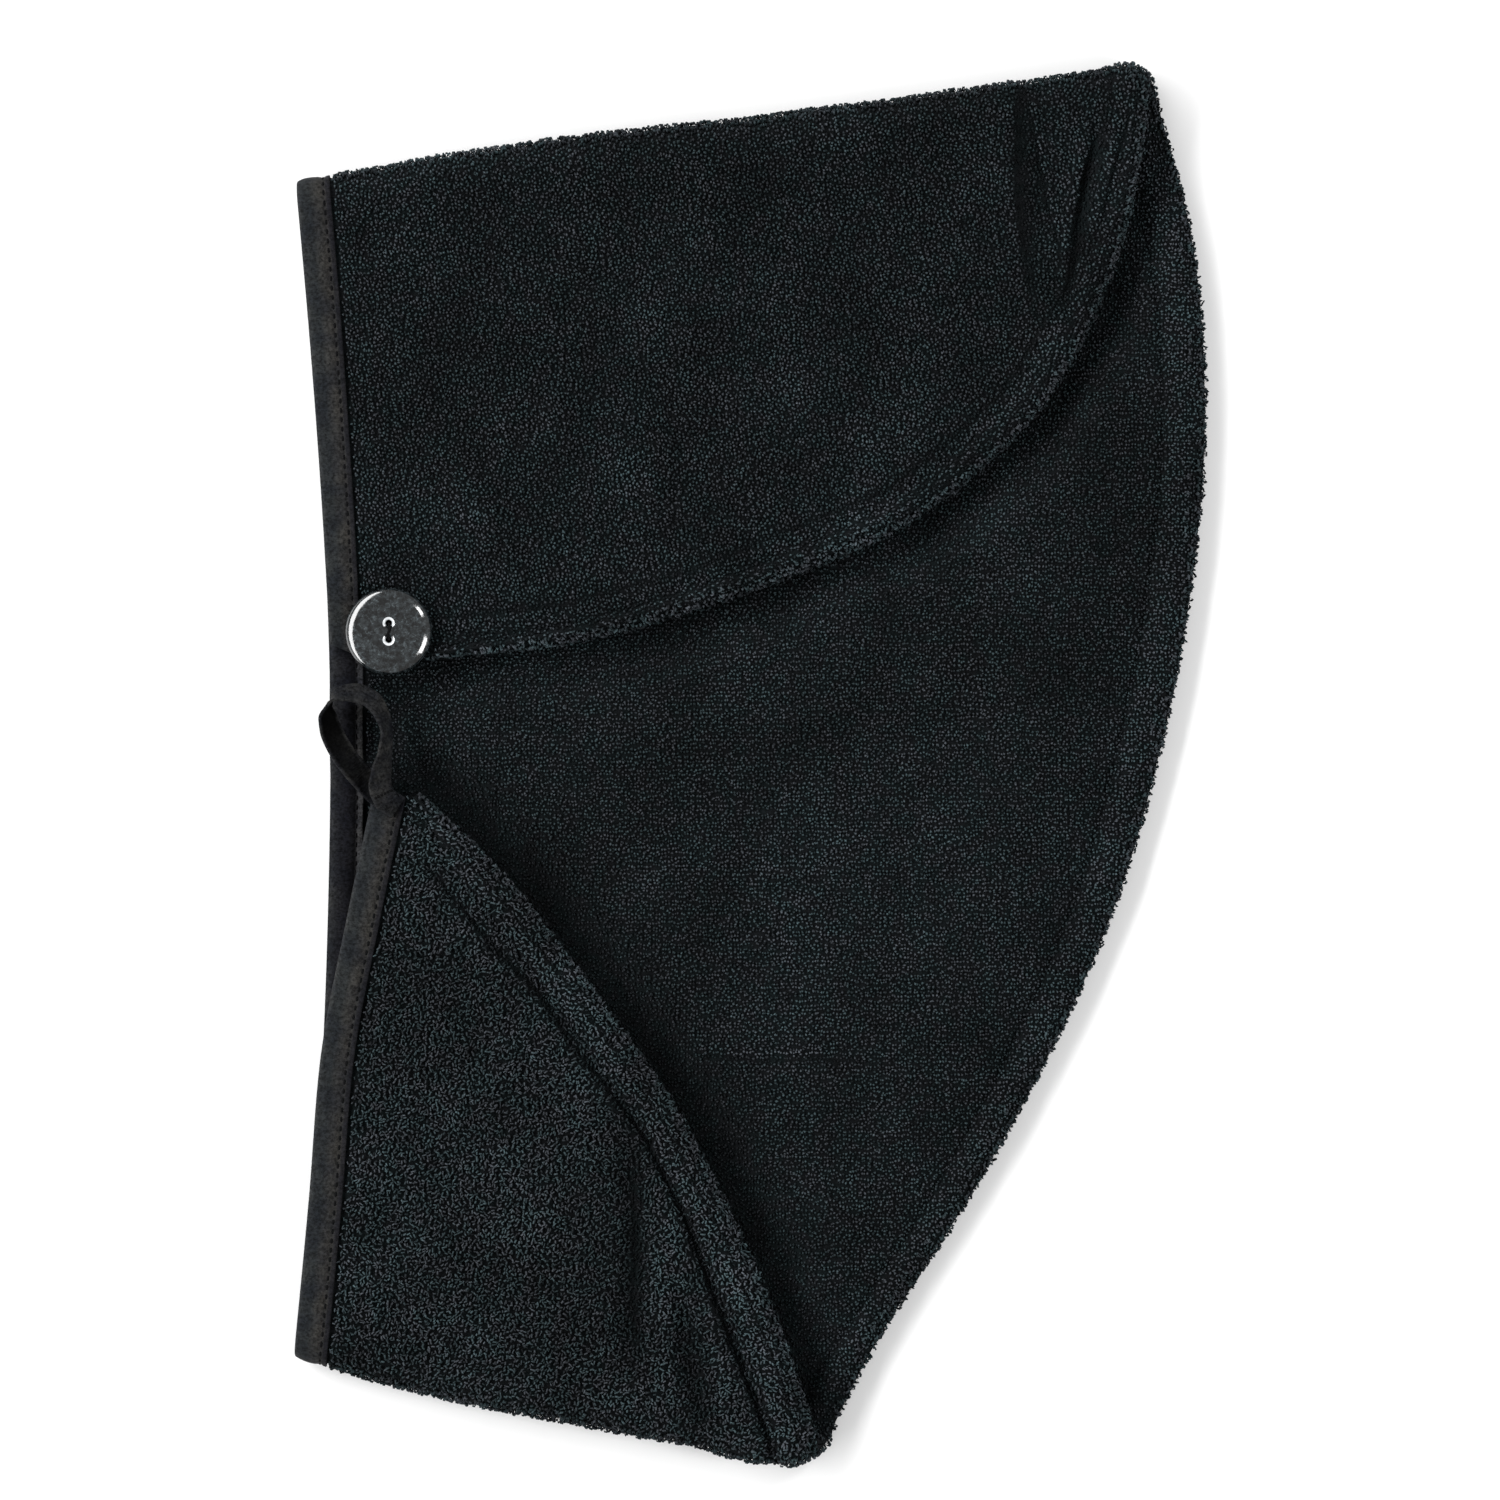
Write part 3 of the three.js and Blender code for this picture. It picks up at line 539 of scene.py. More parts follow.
# %% Drag lines on the flaps
# This relief also paints the pile: loops on its ridges are painted lighter and loops in its valleys darker.
LONG_CREASE = [(0.3885, 0.2312), (0.4287, 0.1768), (0.4548, 0.1296), (0.4788, 0.088),
               (0.5049, 0.0465), (0.5234, 0.0115)]
LONG_CREASE_END = [(0.1523, 0.4245), (0.2165, 0.3729), (0.2688, 0.3372), (0.3112, 0.2956),
                   (0.3536, 0.2613), (0.3885, 0.2312)]
# Points as shares, the width of the bell in mm, and the height in mm at each point
DRAG_LINES = [
    ([(0.8063, 0.9792), (0.8063, 0.9327), (0.8118, 0.8826), (0.8183, 0.8253)], 4.2,
     (-0.6, -0.9, -0.8, -0.3)),
    ([(0.8749, 0.9578), (0.8727, 0.9427), (0.8629, 0.922), (0.8564, 0.9005),
      (0.8509, 0.8754), (0.8466, 0.8461), (0.8411, 0.811)], 2.6,
     (-0.4, -1.2, -1.6, -1.4, -1.0, -0.7, -0.2)),
    ([(0.8585, 0.947), (0.8498, 0.9112), (0.8433, 0.8754), (0.8368, 0.8397)], 1.8,
     (0.6, 1.3, 1.2, 0.6)),
    ([(0.9075, 0.9671), (0.9042, 0.9528), (0.8966, 0.9256), (0.8879, 0.9041),
      (0.8749, 0.8754), (0.8683, 0.8597)], 1.8,
     (-0.4, -0.9, -1.2, -1.1, -0.7, -0.3)),
    ([(0.8879, 0.9506), (0.8803, 0.9184), (0.8694, 0.8862)], 2.2,
     (0.6, 1.1, 0.5)),
    (LONG_CREASE_END, 1.8, (-0.4, -0.7, -0.8, -0.8, -0.8, -0.8)),
    (LONG_CREASE, 1.9, (-0.8, -1.2, -1.4, -1.4, -1.3, -1.0)),
    ([(0.3678, 0.2348), (0.3678, 0.1496), (0.3634, 0.0651)], 4.0,
     (-0.7, -1.9, -1.2)),
    ([(0.42, 0.1181), (0.4331, 0.0687), (0.4418, 0.0351)], 2.8,
     (-0.7, -1.8, -1.1)),
    ([(0.395, 0.1704), (0.4015, 0.1102), (0.4037, 0.0501)], 3.0,
     (0.2, 0.8, 0.3)),
    ([(0.4548, 0.1102), (0.4679, 0.0601), (0.4755, 0.0301)], 2.4,
     (0.2, 0.7, 0.4)),
]
# A ridge and a groove: mm in from the seam at the head and at the tail, width and height in mm
SEAM_LINES = [(6.4, 7.6, 2.8, 0.6), (10.8, 12.9, 1.3, -0.4)]


def line_relief(points, table):
    """The sum of the bells: height x exp(-(distance / width)^2), with the height read along the line.
    A pair of widths gives a bell that is wider on one side: the first width is for its left."""
    relief = np.zeros(points.shape[:-1])
    for shares, width, heights in table:
        left, right = np.broadcast_to(width, 2)
        line = place(shares)
        reached = run_length(line)
        best = np.full(relief.shape, np.inf)
        height = np.zeros(relief.shape)
        for k in range(len(line) - 1):
            along, distance, turn = beside_stretch(points, line[k], line[k + 1])
            share = distance / np.where(turn > 0, left, right)
            closer = share < best
            best = np.where(closer, share, best)
            at = reached[k] + along * (reached[k + 1] - reached[k])
            height = np.where(closer, np.interp(at, reached, heights), height)
        relief += height * bell(best, 1)
    return relief


def waves(points, shortest, longest, count, seed):
    """Smooth irregular waves of about unit size: cosines of seeded directions, lengths and phases."""
    rng = np.random.default_rng(seed)
    total = np.zeros(points.shape[:-1])
    for _ in range(count):
        heading = rng.uniform(0, 2 * math.pi)
        pace = 2 * math.pi / rng.uniform(shortest, longest)
        phase = rng.uniform(0, 2 * math.pi)
        across = points[..., 0] * np.cos(heading) + points[..., 1] * np.sin(heading)
        total += np.cos(pace * across + phase)
    return total / math.sqrt(count / 2)


print("drag lines", len(DRAG_LINES))

# %% [markdown]
# ## The two terry panels
# Each panel is a closed sheet: an outside grid with the relief and a smooth inside grid, joined round
# the rims. The yarn loops come later as pieces of their own, so this ground cloth lies a little below
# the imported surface, except underneath, where the towel's weight presses the pile flat.

# %% Panel grids
PILE_DEPTH = 0.8
BOUND_AT = np.array([0, 2.5, 5, 7.5, 9, 9.9, 10.6, 11.3, 12.5])
SEAM_IN = np.array([15.2, 14, 12.9, 11.8, 10.6, 9.4, 8.2, 7, 5.9, 4.9, 3.9, 3, 2.2, 1.5, 0.9, 0.4, 0])
SEAM_BODY = ([0, 0.75, 2.25, 5], [0.2, 0.58, 0.87, 1])
SEAM_THICKENING = 0.7
SEAM_BAND = 13.75
LEAST_THICKNESS = 0.5
# Where the tape ends and the full thickness of terry begins, and over what length, in mm
SWELL_FROM = 9.9
SWELL_LENGTH = 2.6
# The height of the cloth's waves in mm, with their shortest and longest, their number and the seed
PANEL_WAVES = [(0.16, (22, 70, 10, 3)), (0.07, (8, 18, 12, 4))]
# The free edge of a flap, and how deep and how far, in mm, the middle is pressed down beside it and
# gets a painted shadow of the flap on its pile
EDGE_DIPS_AND_SHADOWS = [(TAIL_FREE_EDGE, 1.0, 15.0), (HEAD_FREE_EDGE, 0.6, 8.0)]


def edge_scales(width):
    """How far the fixed distances beside the bound edge and the seam are scaled down in a row."""
    bound_scale = np.minimum(1, 0.75 * width / BOUND_AT[-1])
    return bound_scale, np.minimum(1, 0.6 * (width - bound_scale * BOUND_AT[-1]) / SEAM_IN[0])


def panel_columns(between):
    """Distances from the bound edge: fixed ones beside the two edges and closer ones nearer the seam
    between them. A row too narrow for the fixed ones has them scaled down."""

    def columns(width):
        bound_scale, seam_scale = edge_scales(width)
        first, last = bound_scale * BOUND_AT[-1], width - seam_scale * SEAM_IN[0]
        t = np.linspace(0, 1, between + 1)[1:-1]
        share = 0.55 * t + 0.45 * (1 - (1 - t) ** 2)
        middle = first + (last - first) * share
        return np.hstack([bound_scale * BOUND_AT, middle, width - seam_scale * SEAM_IN])

    return columns


def panel_relief(panel, zones, flat, from_seam):
    """The height of the cloth's relief: the seam's band and lines, waves, and creases or dips."""
    relief = SEAM_THICKENING * smooth((SEAM_BAND - from_seam) / 2.75) * smooth(from_seam / 2.5)
    for at_head, at_tail, width, height in SEAM_LINES:
        middle = np.where(zones >= HEAD_TURN, at_head, at_tail)[:, None]
        relief = relief + height * bell(from_seam - middle, width)
    for height, wave in PANEL_WAVES:
        relief = relief + height * waves(flat, *wave)
    if panel == "under":
        return relief + line_relief(flat, DRAG_LINES)
    # Dips beside the flaps' free edges, which also paint the flaps' shadows on the pile
    for edge, depth, width in EDGE_DIPS_AND_SHADOWS:
        relief = relief - depth * bell(beside(edge, flat)[0], width)
    return relief


def panel_faces(panel, zones, values, between):
    """The outside and inside grids of a panel, its distances in from its two edges, and its relief."""
    points, at, width = cloth(panel, zones, values, panel_columns(between))
    normal = outward(points)
    bound_scale, seam_scale = edge_scales(width)
    from_bound, from_seam = at / bound_scale, (width - at) / seam_scale
    swell = smooth((from_bound - SWELL_FROM) / SWELL_LENGTH)
    thickness = BOUND_THICKNESS + (TERRY_THICKNESS - BOUND_THICKNESS) * swell
    body = np.interp(from_seam, *SEAM_BODY)
    side = 1 if panel == "under" else -1
    weight_or_painted_shade = shown_share(panel, zones, values, 0.1)[:, None] * swell
    relief = panel_relief(panel, zones, points[..., :2], from_seam) * weight_or_painted_shade * body
    height = (thickness - PILE_DEPTH * weight_or_painted_shade) * body + relief
    height = np.maximum(height, np.minimum(LEAST_THICKNESS, thickness * body))
    outside = points + normal * (side * (height - thickness / 2))[..., None]
    inside = points - normal * (side * thickness / 2)[..., None]
    return outside, inside, from_bound, from_seam, relief


# %% Closed sheets
def closed_sheet(outside, inside):
    """The points and cells of a wall between two grids, joined round the rims."""
    rows, columns = outside.shape[:2]
    count = rows * columns
    corner = np.arange(count).reshape(rows, columns)
    rim = np.concatenate([corner[0, :-1], corner[:-1, -1], corner[-1, :0:-1], corner[:0:-1, 0]])
    after = np.roll(rim, -1)
    walls = corners(after, rim, rim + count, after + count)
    cells = np.vstack([grid_cells(rows, columns), grid_cells(rows, columns, count)[:, ::-1], walls])
    return np.vstack([outside.reshape(-1, 3), inside.reshape(-1, 3)]), cells


PANEL_ROWS = {"under": panel_rows(66, 14, 36, 92), "upper": panel_rows(20, 8, 110, 24)}
BETWEEN = {"under": 78, "upper": 62}
panels = {}
for panel in ("under", "upper"):
    zones, values = PANEL_ROWS[panel]
    outside, inside, from_bound, from_seam, relief = panel_faces(panel, zones, values, BETWEEN[panel])
    points, cells = closed_sheet(outside, inside)
    piece = add_piece(panel + "_panel_cloth", points, cells, ground_finish)
    panels[panel] = {"piece": piece, "outside": outside, "zones": zones, "from_bound": from_bound,
                     "from_seam": from_seam, "relief": relief, "points": points, "cells": cells}

# %% [markdown]
# ## The bindings
# A smooth tape is folded over each panel's straight edge and stitched down about 7 mm from it. It is
# slightly padded between the edge and the stitches, where the terry inside pushes it out, and it
# pulls in at each stitch. So it is a profile carried along the edge: over the shown side, round the
# edge, back underneath, and inside again. A flat ribbon would miss the padded look.

# %% Binding finish
# The bands are partly the tape's own tone and partly painted light: a painted highlight round the stitches
# and along the rounded edge.
TAPE_BANDS = [
    # place across the tape from its inner edge, in mm, and colour
    (0.0, (0.0059, 0.0059, 0.0076)), (1.1, (0.0067, 0.0067, 0.0084)), (1.7, (0.0160, 0.0158, 0.0160)),
    (2.9, (0.0197, 0.0193, 0.0189)), (4.4, (0.0172, 0.0176, 0.0181)), (6.2, (0.0101, 0.0118, 0.0133)),
    (8.4, (0.0105, 0.0122, 0.0136)), (9.4, (0.0176, 0.0193, 0.0210)), (10.6, (0.0084, 0.0092, 0.0101)),
]
# The upper panel's binding, between the flaps, is the same tape made darker: painted shade, in bands of its
# own.
PAINTED_SHADE_TAPE_BANDS = [
    (0.0, (0.0250, 0.0255, 0.0275)), (1.5, (0.0230, 0.0235, 0.0255)), (2.4, (0.0050, 0.0050, 0.0060)),
    (5.0, (0.0060, 0.0062, 0.0085)), (7.5, (0.0080, 0.0085, 0.0105)), (9.2, (0.0150, 0.0160, 0.0180)),
    (10.6, (0.0070, 0.0075, 0.0085)),
]
TAPE_SPAN = 12.0
TAPE_MOTTLING = [
    (1100, 3.0, 0.7, (0.4, 0.4, 0.4), (1.65, 1.65, 1.65), 0.36, 0.64),
    (140, 2.0, 0.5, (0.7, 0.73, 0.8), (1.3, 1.26, 1.16), 0.35, 0.65),
]
LOOP_TONE = (300, 3.0, 0.6, (0.008, 0.0085, 0.01), (0.018, 0.0185, 0.019), 0.35, 0.65)


def tape_material(name, table, gloss):
    """Smooth woven tape: bands of tone and painted light across it, a mottled nap, painted shade in a
    trough, and a fine twill with gathers.
    """
    material, links, shader = new_material(
        name,
        Roughness=0.75,
        Specular_IOR_Level=gloss,
        Sheen_Weight=0.02,
        Sheen_Roughness=0.35,
        Sheen_Tint=(0.95, 0.98, 1.0, 1),
    )
    where = object_coordinates(material)
    map_node = add_node(material, "ShaderNodeUVMap")
    map_node.uv_map = "cloth"
    cloth_map = map_node.outputs["UV"]
    if table:
        split = add_node(material, "ShaderNodeSeparateXYZ", cloth_map)
        across = map_range(material, split.outputs["Y"], From_Max=TAPE_SPAN)
        tone = bands(material, across, [(at / TAPE_SPAN, colour) for at, colour in table])
    else:
        tone = mottle(material, where, [LOOP_TONE])[0]
    # Painted shade: the trough of the loop's tape darkened, where the piece carries it
    inner = blend(material, carried(material, "painted_trough_shade"), (1, 1, 1), (0.06, 0.06, 0.06))
    colour = multiply(material, tone, *mottle(material, where, TAPE_MOTTLING), inner)
    links.new(colour, shader.inputs["Base Color"])
    gathers = add_node(material, "ShaderNodeMapping", cloth_map, Scale=(1.6, 0.28, 1.0))
    bump(material, shader, noise(material, gathers.outputs["Vector"], 1.0, 3.0, 0.6), 0.0004, 0.9)
    return material


tape_finish = tape_material("binding_tape", TAPE_BANDS, 0.08)
# A darker copy of the tape for the upper binding, between the flaps: painted shade
painted_shade_tape_finish = tape_material("binding_tape_painted_shade", PAINTED_SHADE_TAPE_BANDS, 0.05)
loop_tape_finish = tape_material("loop_tape", None, 0.03)
print("tape finishes made")

# %% Binding shape
BINDING_THICKNESS = 0.55
CLEARANCE = 0.3
STITCH_AT = 7.0
STITCH_PITCH = 2.7
EDGE_COLUMNS = np.array([0, 2.25, 4.5, 6.75, 9.0, 9.9])
BINDING_ROWS = panel_rows(122, 16, 290, 100)


def edge_strip(panel):
    """The first 10 mm of a panel beside its bound edge, as closely spaced rows, and its directions."""
    zones, values = BINDING_ROWS
    points = cloth(panel, zones, values, lambda width: EDGE_COLUMNS + 0 * width)[0]
    side = 1 if panel == "under" else -1
    shown = shown_share(panel, zones, values, 0.2)
    return points, outward(points) * side, unit(points[:, 0] - points[:, 1]), run_length(points[:, 2]), shown


def strip_point(points, at):
    """The strip's points at the given distances in from the edge, for every row."""
    k = np.clip(np.searchsorted(EDGE_COLUMNS, at, side="right") - 1, 0, len(EDGE_COLUMNS) - 2)
    w = ((at - EDGE_COLUMNS[k]) / (EDGE_COLUMNS[k + 1] - EDGE_COLUMNS[k]))[..., None]
    return points[:, k] * (1 - w) + points[:, k + 1] * w


def tape_swell(at, length):
    """How far the tape swells: a crown between edge and stitches, a pull at each stitch, long waves."""
    crown = 0.5 * np.sin(math.pi * np.clip(at / STITCH_AT, 0, 1)) ** 0.8
    groove = -0.28 * bell(at - STITCH_AT, 0.8)
    strip = 0.1 * smooth((at - STITCH_AT) / 1.2)
    pull = -0.09 * np.cos(2 * math.pi * length / STITCH_PITCH) * bell(at - STITCH_AT, 2.2)
    track = np.stack([length + 0 * at, 2.2 * at + 0 * length], axis=-1)
    return crown + groove + strip + pull + 0.1 * waves(track, 9, 40, 12, 8) * smooth(at / 3)


# The tape's rings: how far in from the edge on the shown side, the turn round the edge in degrees, and
# how far in underneath and inside
TAPE_AT = np.array([9.0, 8.6, 8.0, 7.5, 7.15, 6.85, 6.4, 5.6, 4.6, 3.5, 2.4, 1.4, 0.6, 0.0])
EDGE_TURN = np.radians([60, 30, 0, -30, -60])
LOW_AT = np.array([0.0, 2.0, 4.5, 7.0, 9.0])
INSIDE_AT = np.array([9.0, 4.5, 0.0])
strips = {panel: edge_strip(panel) for panel in ("under", "upper")}
print("length of the bound edge in mm", strips["under"][3][-1].round(0))


# %% Binding pieces
def binding(panel):
    """The rings of the tape: over the shown side, round the edge, under the far side, and back inside."""
    points, out, away, length, shown = strips[panel]
    inner = BOUND_THICKNESS / 2 + CLEARANCE
    outer = inner + BINDING_THICKNESS
    swell = tape_swell(TAPE_AT[None, :], length[:, None]) * shown[:, None]
    top = strip_point(points, TAPE_AT) + (outer + swell)[..., None] * out[:, :1]
    first = top[:, -1]
    centre = strip_point(points, np.zeros(1))[:, 0]
    lift = np.einsum("ij,ij->i", first - centre, out[:, 0])[:, None]
    edge = np.stack([centre + EDGE_INSET * np.cos(a) * away
                     + (lift if a > 0 else outer) * np.sin(a) * out[:, 0] for a in EDGE_TURN], axis=1)
    low = strip_point(points, LOW_AT) - outer * out[:, :1]
    inside_low = strip_point(points, INSIDE_AT) - inner * out[:, :1]
    inside_top = strip_point(points, INSIDE_AT[::-1]) + inner * out[:, :1]
    return np.concatenate([top, edge, low, inside_low, inside_top], axis=1), length


def split_cells(cells):
    """Two triangles for each four-cornered cell."""
    return np.vstack([cells[:, [0, 1, 2]], cells[:, [0, 2, 3]]])


def ring_faces(rows, columns):
    """The triangles of a tube of rings, with a fan of triangles over its first and its last ring."""
    k = np.arange(1, columns - 1)
    start = corners(0, k + 1, k)
    end = (rows - 1) * columns + corners(0, k, k + 1)
    return np.vstack([split_cells(grid_cells(rows, columns, closed=True)), start, end])


def strip_uv(length, across):
    """A strip's map: the length along it one way and the distance across it the other."""
    return np.stack(np.meshgrid(length, across, indexing="ij"), axis=-1).reshape(-1, 2)


TAPE_FINISH = {"under": tape_finish, "upper": painted_shade_tape_finish}
bindings = {}
for panel in ("under", "upper"):
    rings, length = binding(panel)
    uv = strip_uv(length, run_length(rings[len(rings) // 2]))
    faces = ring_faces(*rings.shape[:2])
    points = rings.reshape(-1, 3)
    bindings[panel] = {"piece": add_piece(panel + "_binding_tape", points, faces, TAPE_FINISH[panel], uv=uv),
                       "points": points, "faces": faces}

# %% [markdown]
# ## Threads: one shape for stitches and yarn loops
# A stitch and a yarn loop are both a short length of thread that rises out of the cloth and dips back
# into it. One function makes thousands of them at once: a ring of three to five points at each
# station of a short path, and a single point at either end. Each has only 6 to 30 triangles.

# %% Short threads
def threads(path, radius, crest, sides):
    """Points and faces of closed threads. The path is (threads, stations, 3), and its first and last
    stations are single points. Each ring point is path + radius x (cos a x crest + sin a x side)."""
    count, stations = path.shape[:2]
    heading = np.gradient(path, axis=1)
    across = unit(np.cross(heading, crest[:, None, :]))
    angle = 2 * math.pi * np.arange(sides) / sides
    ring = (np.cos(angle)[:, None] * crest[:, None, None, :]
            + np.sin(angle)[:, None] * across[:, 1:-1, None, :])
    rings = path[:, 1:-1, None, :] + radius[:, 1:-1, None, None] * ring
    points = np.concatenate([path[:, :1], rings.reshape(count, -1, 3), path[:, -1:]], axis=1)
    per_thread = points.shape[1]
    around = np.arange(sides)
    after = (around + 1) % sides
    start = corners(0, 1 + around, 1 + after)
    last = per_thread - 1
    end = corners(last, last - sides + after, last - sides + around)
    band = np.vstack([corners(1 + around, 1 + sides + around, 1 + sides + after),
                      corners(1 + around, 1 + sides + after, 1 + after)])
    bands = [band + sides * k for k in range(stations - 3)]
    template = np.vstack([start, *bands, end])
    faces = (template[None] + per_thread * np.arange(count)[:, None, None]).reshape(-1, 3)
    return points.reshape(-1, 3), faces


# %% Stitches along the bindings
thread_finish, _, thread_shader = new_material(
    "sewing_thread",
    Base_Color=(0.0022, 0.0023, 0.0026, 1),
    Roughness=0.8,
    Specular_IOR_Level=0.08,
)
bump(thread_finish, thread_shader, noise(thread_finish, object_coordinates(thread_finish), 3000), 0.00005)
# Half a stitch in mm, its radius, and the stations along it as shares of its half
HALF_STITCH = 0.95
STITCH_RADIUS = 0.32
STITCH_STATIONS = np.array([-1, -0.6, 0, 0.6, 1])


def stitch_row(panel):
    """Stitches 1.9 mm long at every pitch, half sunk into the groove of the binding."""
    points, out, _, length, shown = strips[panel]
    outer = BOUND_THICKNESS / 2 + CLEARANCE + BINDING_THICKNESS
    swell = tape_swell(np.full(len(length), STITCH_AT), length) * shown
    line = strip_point(points, np.array([STITCH_AT]))[:, 0] + (outer + swell)[:, None] * out[:, 0]
    centres = np.arange(STITCH_PITCH, length[-1] - STITCH_PITCH, STITCH_PITCH)
    path = read_along(centres[:, None] + HALF_STITCH * STITCH_STATIONS, length, line)
    normal = read_along(centres, length, out[:, 0])
    rise = 0.1 - 0.35 * np.abs(STITCH_STATIONS) ** 3
    path = path + rise[None, :, None] * normal[:, None]
    return path, normal


for panel in ("under", "upper"):
    path, normal = stitch_row(panel)
    radius = np.broadcast_to(STITCH_RADIUS, path.shape[:2])
    points, faces = threads(path, radius, normal, 5)
    bindings[panel]["stitches"] = add_piece(panel + "_stitches", points, faces, thread_finish)

# %% [markdown]
# ## The button loop
# A flat tape is sewn to the tail's tip, twists up, goes round and comes back. Its centre line runs
# through a table of stations, each with the height and the turn of the tape, as in the imported model.
# The real tape is a strip folded and stitched along its edges, so its section is thicker there. A
# curve object with a bevel would do for an even section, but rings of our own also carry a number
# which paints shade in the trough between the thick edges.

# %% Loop shape
LOOP_STATIONS = np.array([
    # x and y as shares, height in tape widths, turn in degrees
    (0.118, 0.469, 0.00, 0), (0.098, 0.478, 0.03, 4), (0.077, 0.492, 0.17, 12),
    (0.060, 0.506, 0.29, 18), (0.048, 0.520, 0.37, 24), (0.042, 0.533, 0.45, 45),
    (0.044, 0.543, 0.50, 85), (0.055, 0.550, 0.46, 124), (0.073, 0.551, 0.41, 137),
    (0.090, 0.546, 0.41, 135), (0.101, 0.535, 0.45, 122), (0.106, 0.523, 0.49, 112),
    (0.104, 0.509, 0.47, 118), (0.100, 0.495, 0.41, 138), (0.099, 0.483, 0.35, 155),
    (0.107, 0.472, 0.32, 165),
])
LOOP_WIDTH = 7.2
LOOP_THICKNESS = 1.0
LOOP_STANDOFF = 0.4
FLAP_TOP = 12.8


def turned_about(vectors, axis, angle):
    """Rodrigues' formula: v cos a + (axis x v) sin a + axis (axis . v) (1 - cos a)."""
    c, s = np.cos(angle)[:, None], np.sin(angle)[:, None]
    along = np.einsum("ij,ij->i", axis, vectors)[:, None]
    return vectors * c + np.cross(axis, vectors) * s + axis * along * (1 - c)


def loop_frames(sections):
    """The loop's centre line, and the broad and thin directions of the tape at each section."""
    stations = LOOP_STATIONS
    base = FLAP_TOP + LOOP_STANDOFF + LOOP_THICKNESS / 2
    path = np.column_stack([place(stations[:, :2]), base + stations[:, 2] * LOOP_WIDTH])
    t = np.linspace(0, 1, sections)
    centre = curve_point(path, t)
    heading = unit(curve_point(path, t + 1e-4) - curve_point(path, t - 1e-4))
    at = t * (len(stations) - 1)
    low = np.minimum(at.astype(int), len(stations) - 2)
    turns = np.radians(stations[:, 3])
    turn = turns[low] + (turns[low + 1] - turns[low]) * smooth(at - low)
    level = unit(np.column_stack([-heading[:, 1], heading[:, 0], 0 * t]))
    broad = turned_about(level, heading, turn)
    return centre, broad, np.cross(heading, broad)


centre, broad, thin = loop_frames(150)
print("loop sections", len(centre))

# %% Loop piece
# The tape's section: places across it, from -1 to 1, and how thick it is there behind and in front
SECTION_AT = np.array([-1, -0.95, -0.84, -0.7, -0.35, 0, 0.35, 0.7, 0.84, 0.95, 1])
SECTION_BACK = np.array([0.2, 0.45, 0.5, 0.3, 0.05, 0, 0.05, 0.3, 0.5, 0.45, 0.2])
SECTION_FRONT = np.array([0.2, 0.4, 0.5, 0.4, 0.46, 0.5, 0.46, 0.4, 0.5, 0.4, 0.2])
section_x = np.concatenate([SECTION_AT, SECTION_AT[::-1]]) * LOOP_WIDTH / 2
section_y = np.concatenate([SECTION_BACK, -SECTION_FRONT[::-1]]) * LOOP_THICKNESS
rings = centre[:, None] + section_x[:, None] * broad[:, None] + section_y[:, None] * thin[:, None]
length = run_length(centre)
# Painted shade in the trough between the tape's thick edges, fading in near the tape's start
painted_trough_shade = np.concatenate([1 - smooth((np.abs(SECTION_AT) - 0.7) / 0.3), 0 * SECTION_AT])
way = np.linspace(0, 1, len(rings))[:, None]
painted_trough_shade = painted_trough_shade * smooth((way - 0.05) / 0.08) * (0.8 + 0.2 * smooth((way - 0.16) / 0.14))
loop_piece = add_piece("button_loop_tape", rings.reshape(-1, 3), ring_faces(*rings.shape[:2]),
                       loop_tape_finish, {"painted_trough_shade": painted_trough_shade.ravel()}, uv=strip_uv(length, section_x))
print("length of the loop's tape in mm", length[-1].round(1))

# %% [markdown]
# The loop's foot is caught down by a row of stitches across the tape. They are the same short threads,
# laid along the tape's breadth on its upper side, close to its end.

# %% Stitches at the loop's foot
FOOT_AT = 0.962
FOOT_STITCHES = 6
FOOT_RADIUS = 0.34
foot = int(FOOT_AT * (len(centre) - 1))
up = thin[foot] * np.sign(thin[foot, 2])
places = (np.arange(FOOT_STITCHES) - (FOOT_STITCHES - 1) / 2) * (LOOP_WIDTH - 0.9) / FOOT_STITCHES
offsets = places[:, None] + 0.46 * STITCH_STATIONS
rise = LOOP_THICKNESS / 2 + 0.12 - 0.3 * np.abs(STITCH_STATIONS) ** 3
path = centre[foot] + offsets[..., None] * broad[foot] + rise[None, :, None] * up
crest = np.broadcast_to(up, (len(path), 3))
points, faces = threads(path, np.broadcast_to(FOOT_RADIUS, path.shape[:2]), crest, 5)
foot_stitches = add_piece("loop_foot_stitches", points, faces, thread_finish)

# %% [markdown]
# ## The button
# A glossy dark plastic disc with a rounded rim round a shallow dish, and two countersunk holes. The
# body is a profile turned about the middle. The holes are cut with turned cutters and a Boolean
# modifier, which keeps the edges of the countersinks crisp.

# %% Button finish
HOLE_OFFSET = 2.4
BUTTON_PLAN = button_box.mean(axis=0)
# How light a swirl makes the plastic, and how bright the painted highlight ring round a hole is, by
# its radius
SWIRL_TONES = [(0.3, 0.35), (0.47, 0.7), (0.5, 2.4), (0.53, 0.7), (0.7, 1.1)]
PAINTED_HIGHLIGHT_RING_TONES = [(0.0, 0.0), (0.22, 0.0), (0.27, 1.0), (0.4, 1.0), (0.45, 0.0)]
PAINTED_HIGHLIGHT_RING_REACH = 0.004
PAINTED_HIGHLIGHT_RING_COLOUR = (0.75, 0.78, 0.8)


def tone_stops(tones, colour=(1, 1, 1)):
    """Stops for a colour ramp: the places, and the colour times each tone."""
    return [(at, tuple(tone * part for part in colour)) for at, tone in tones]


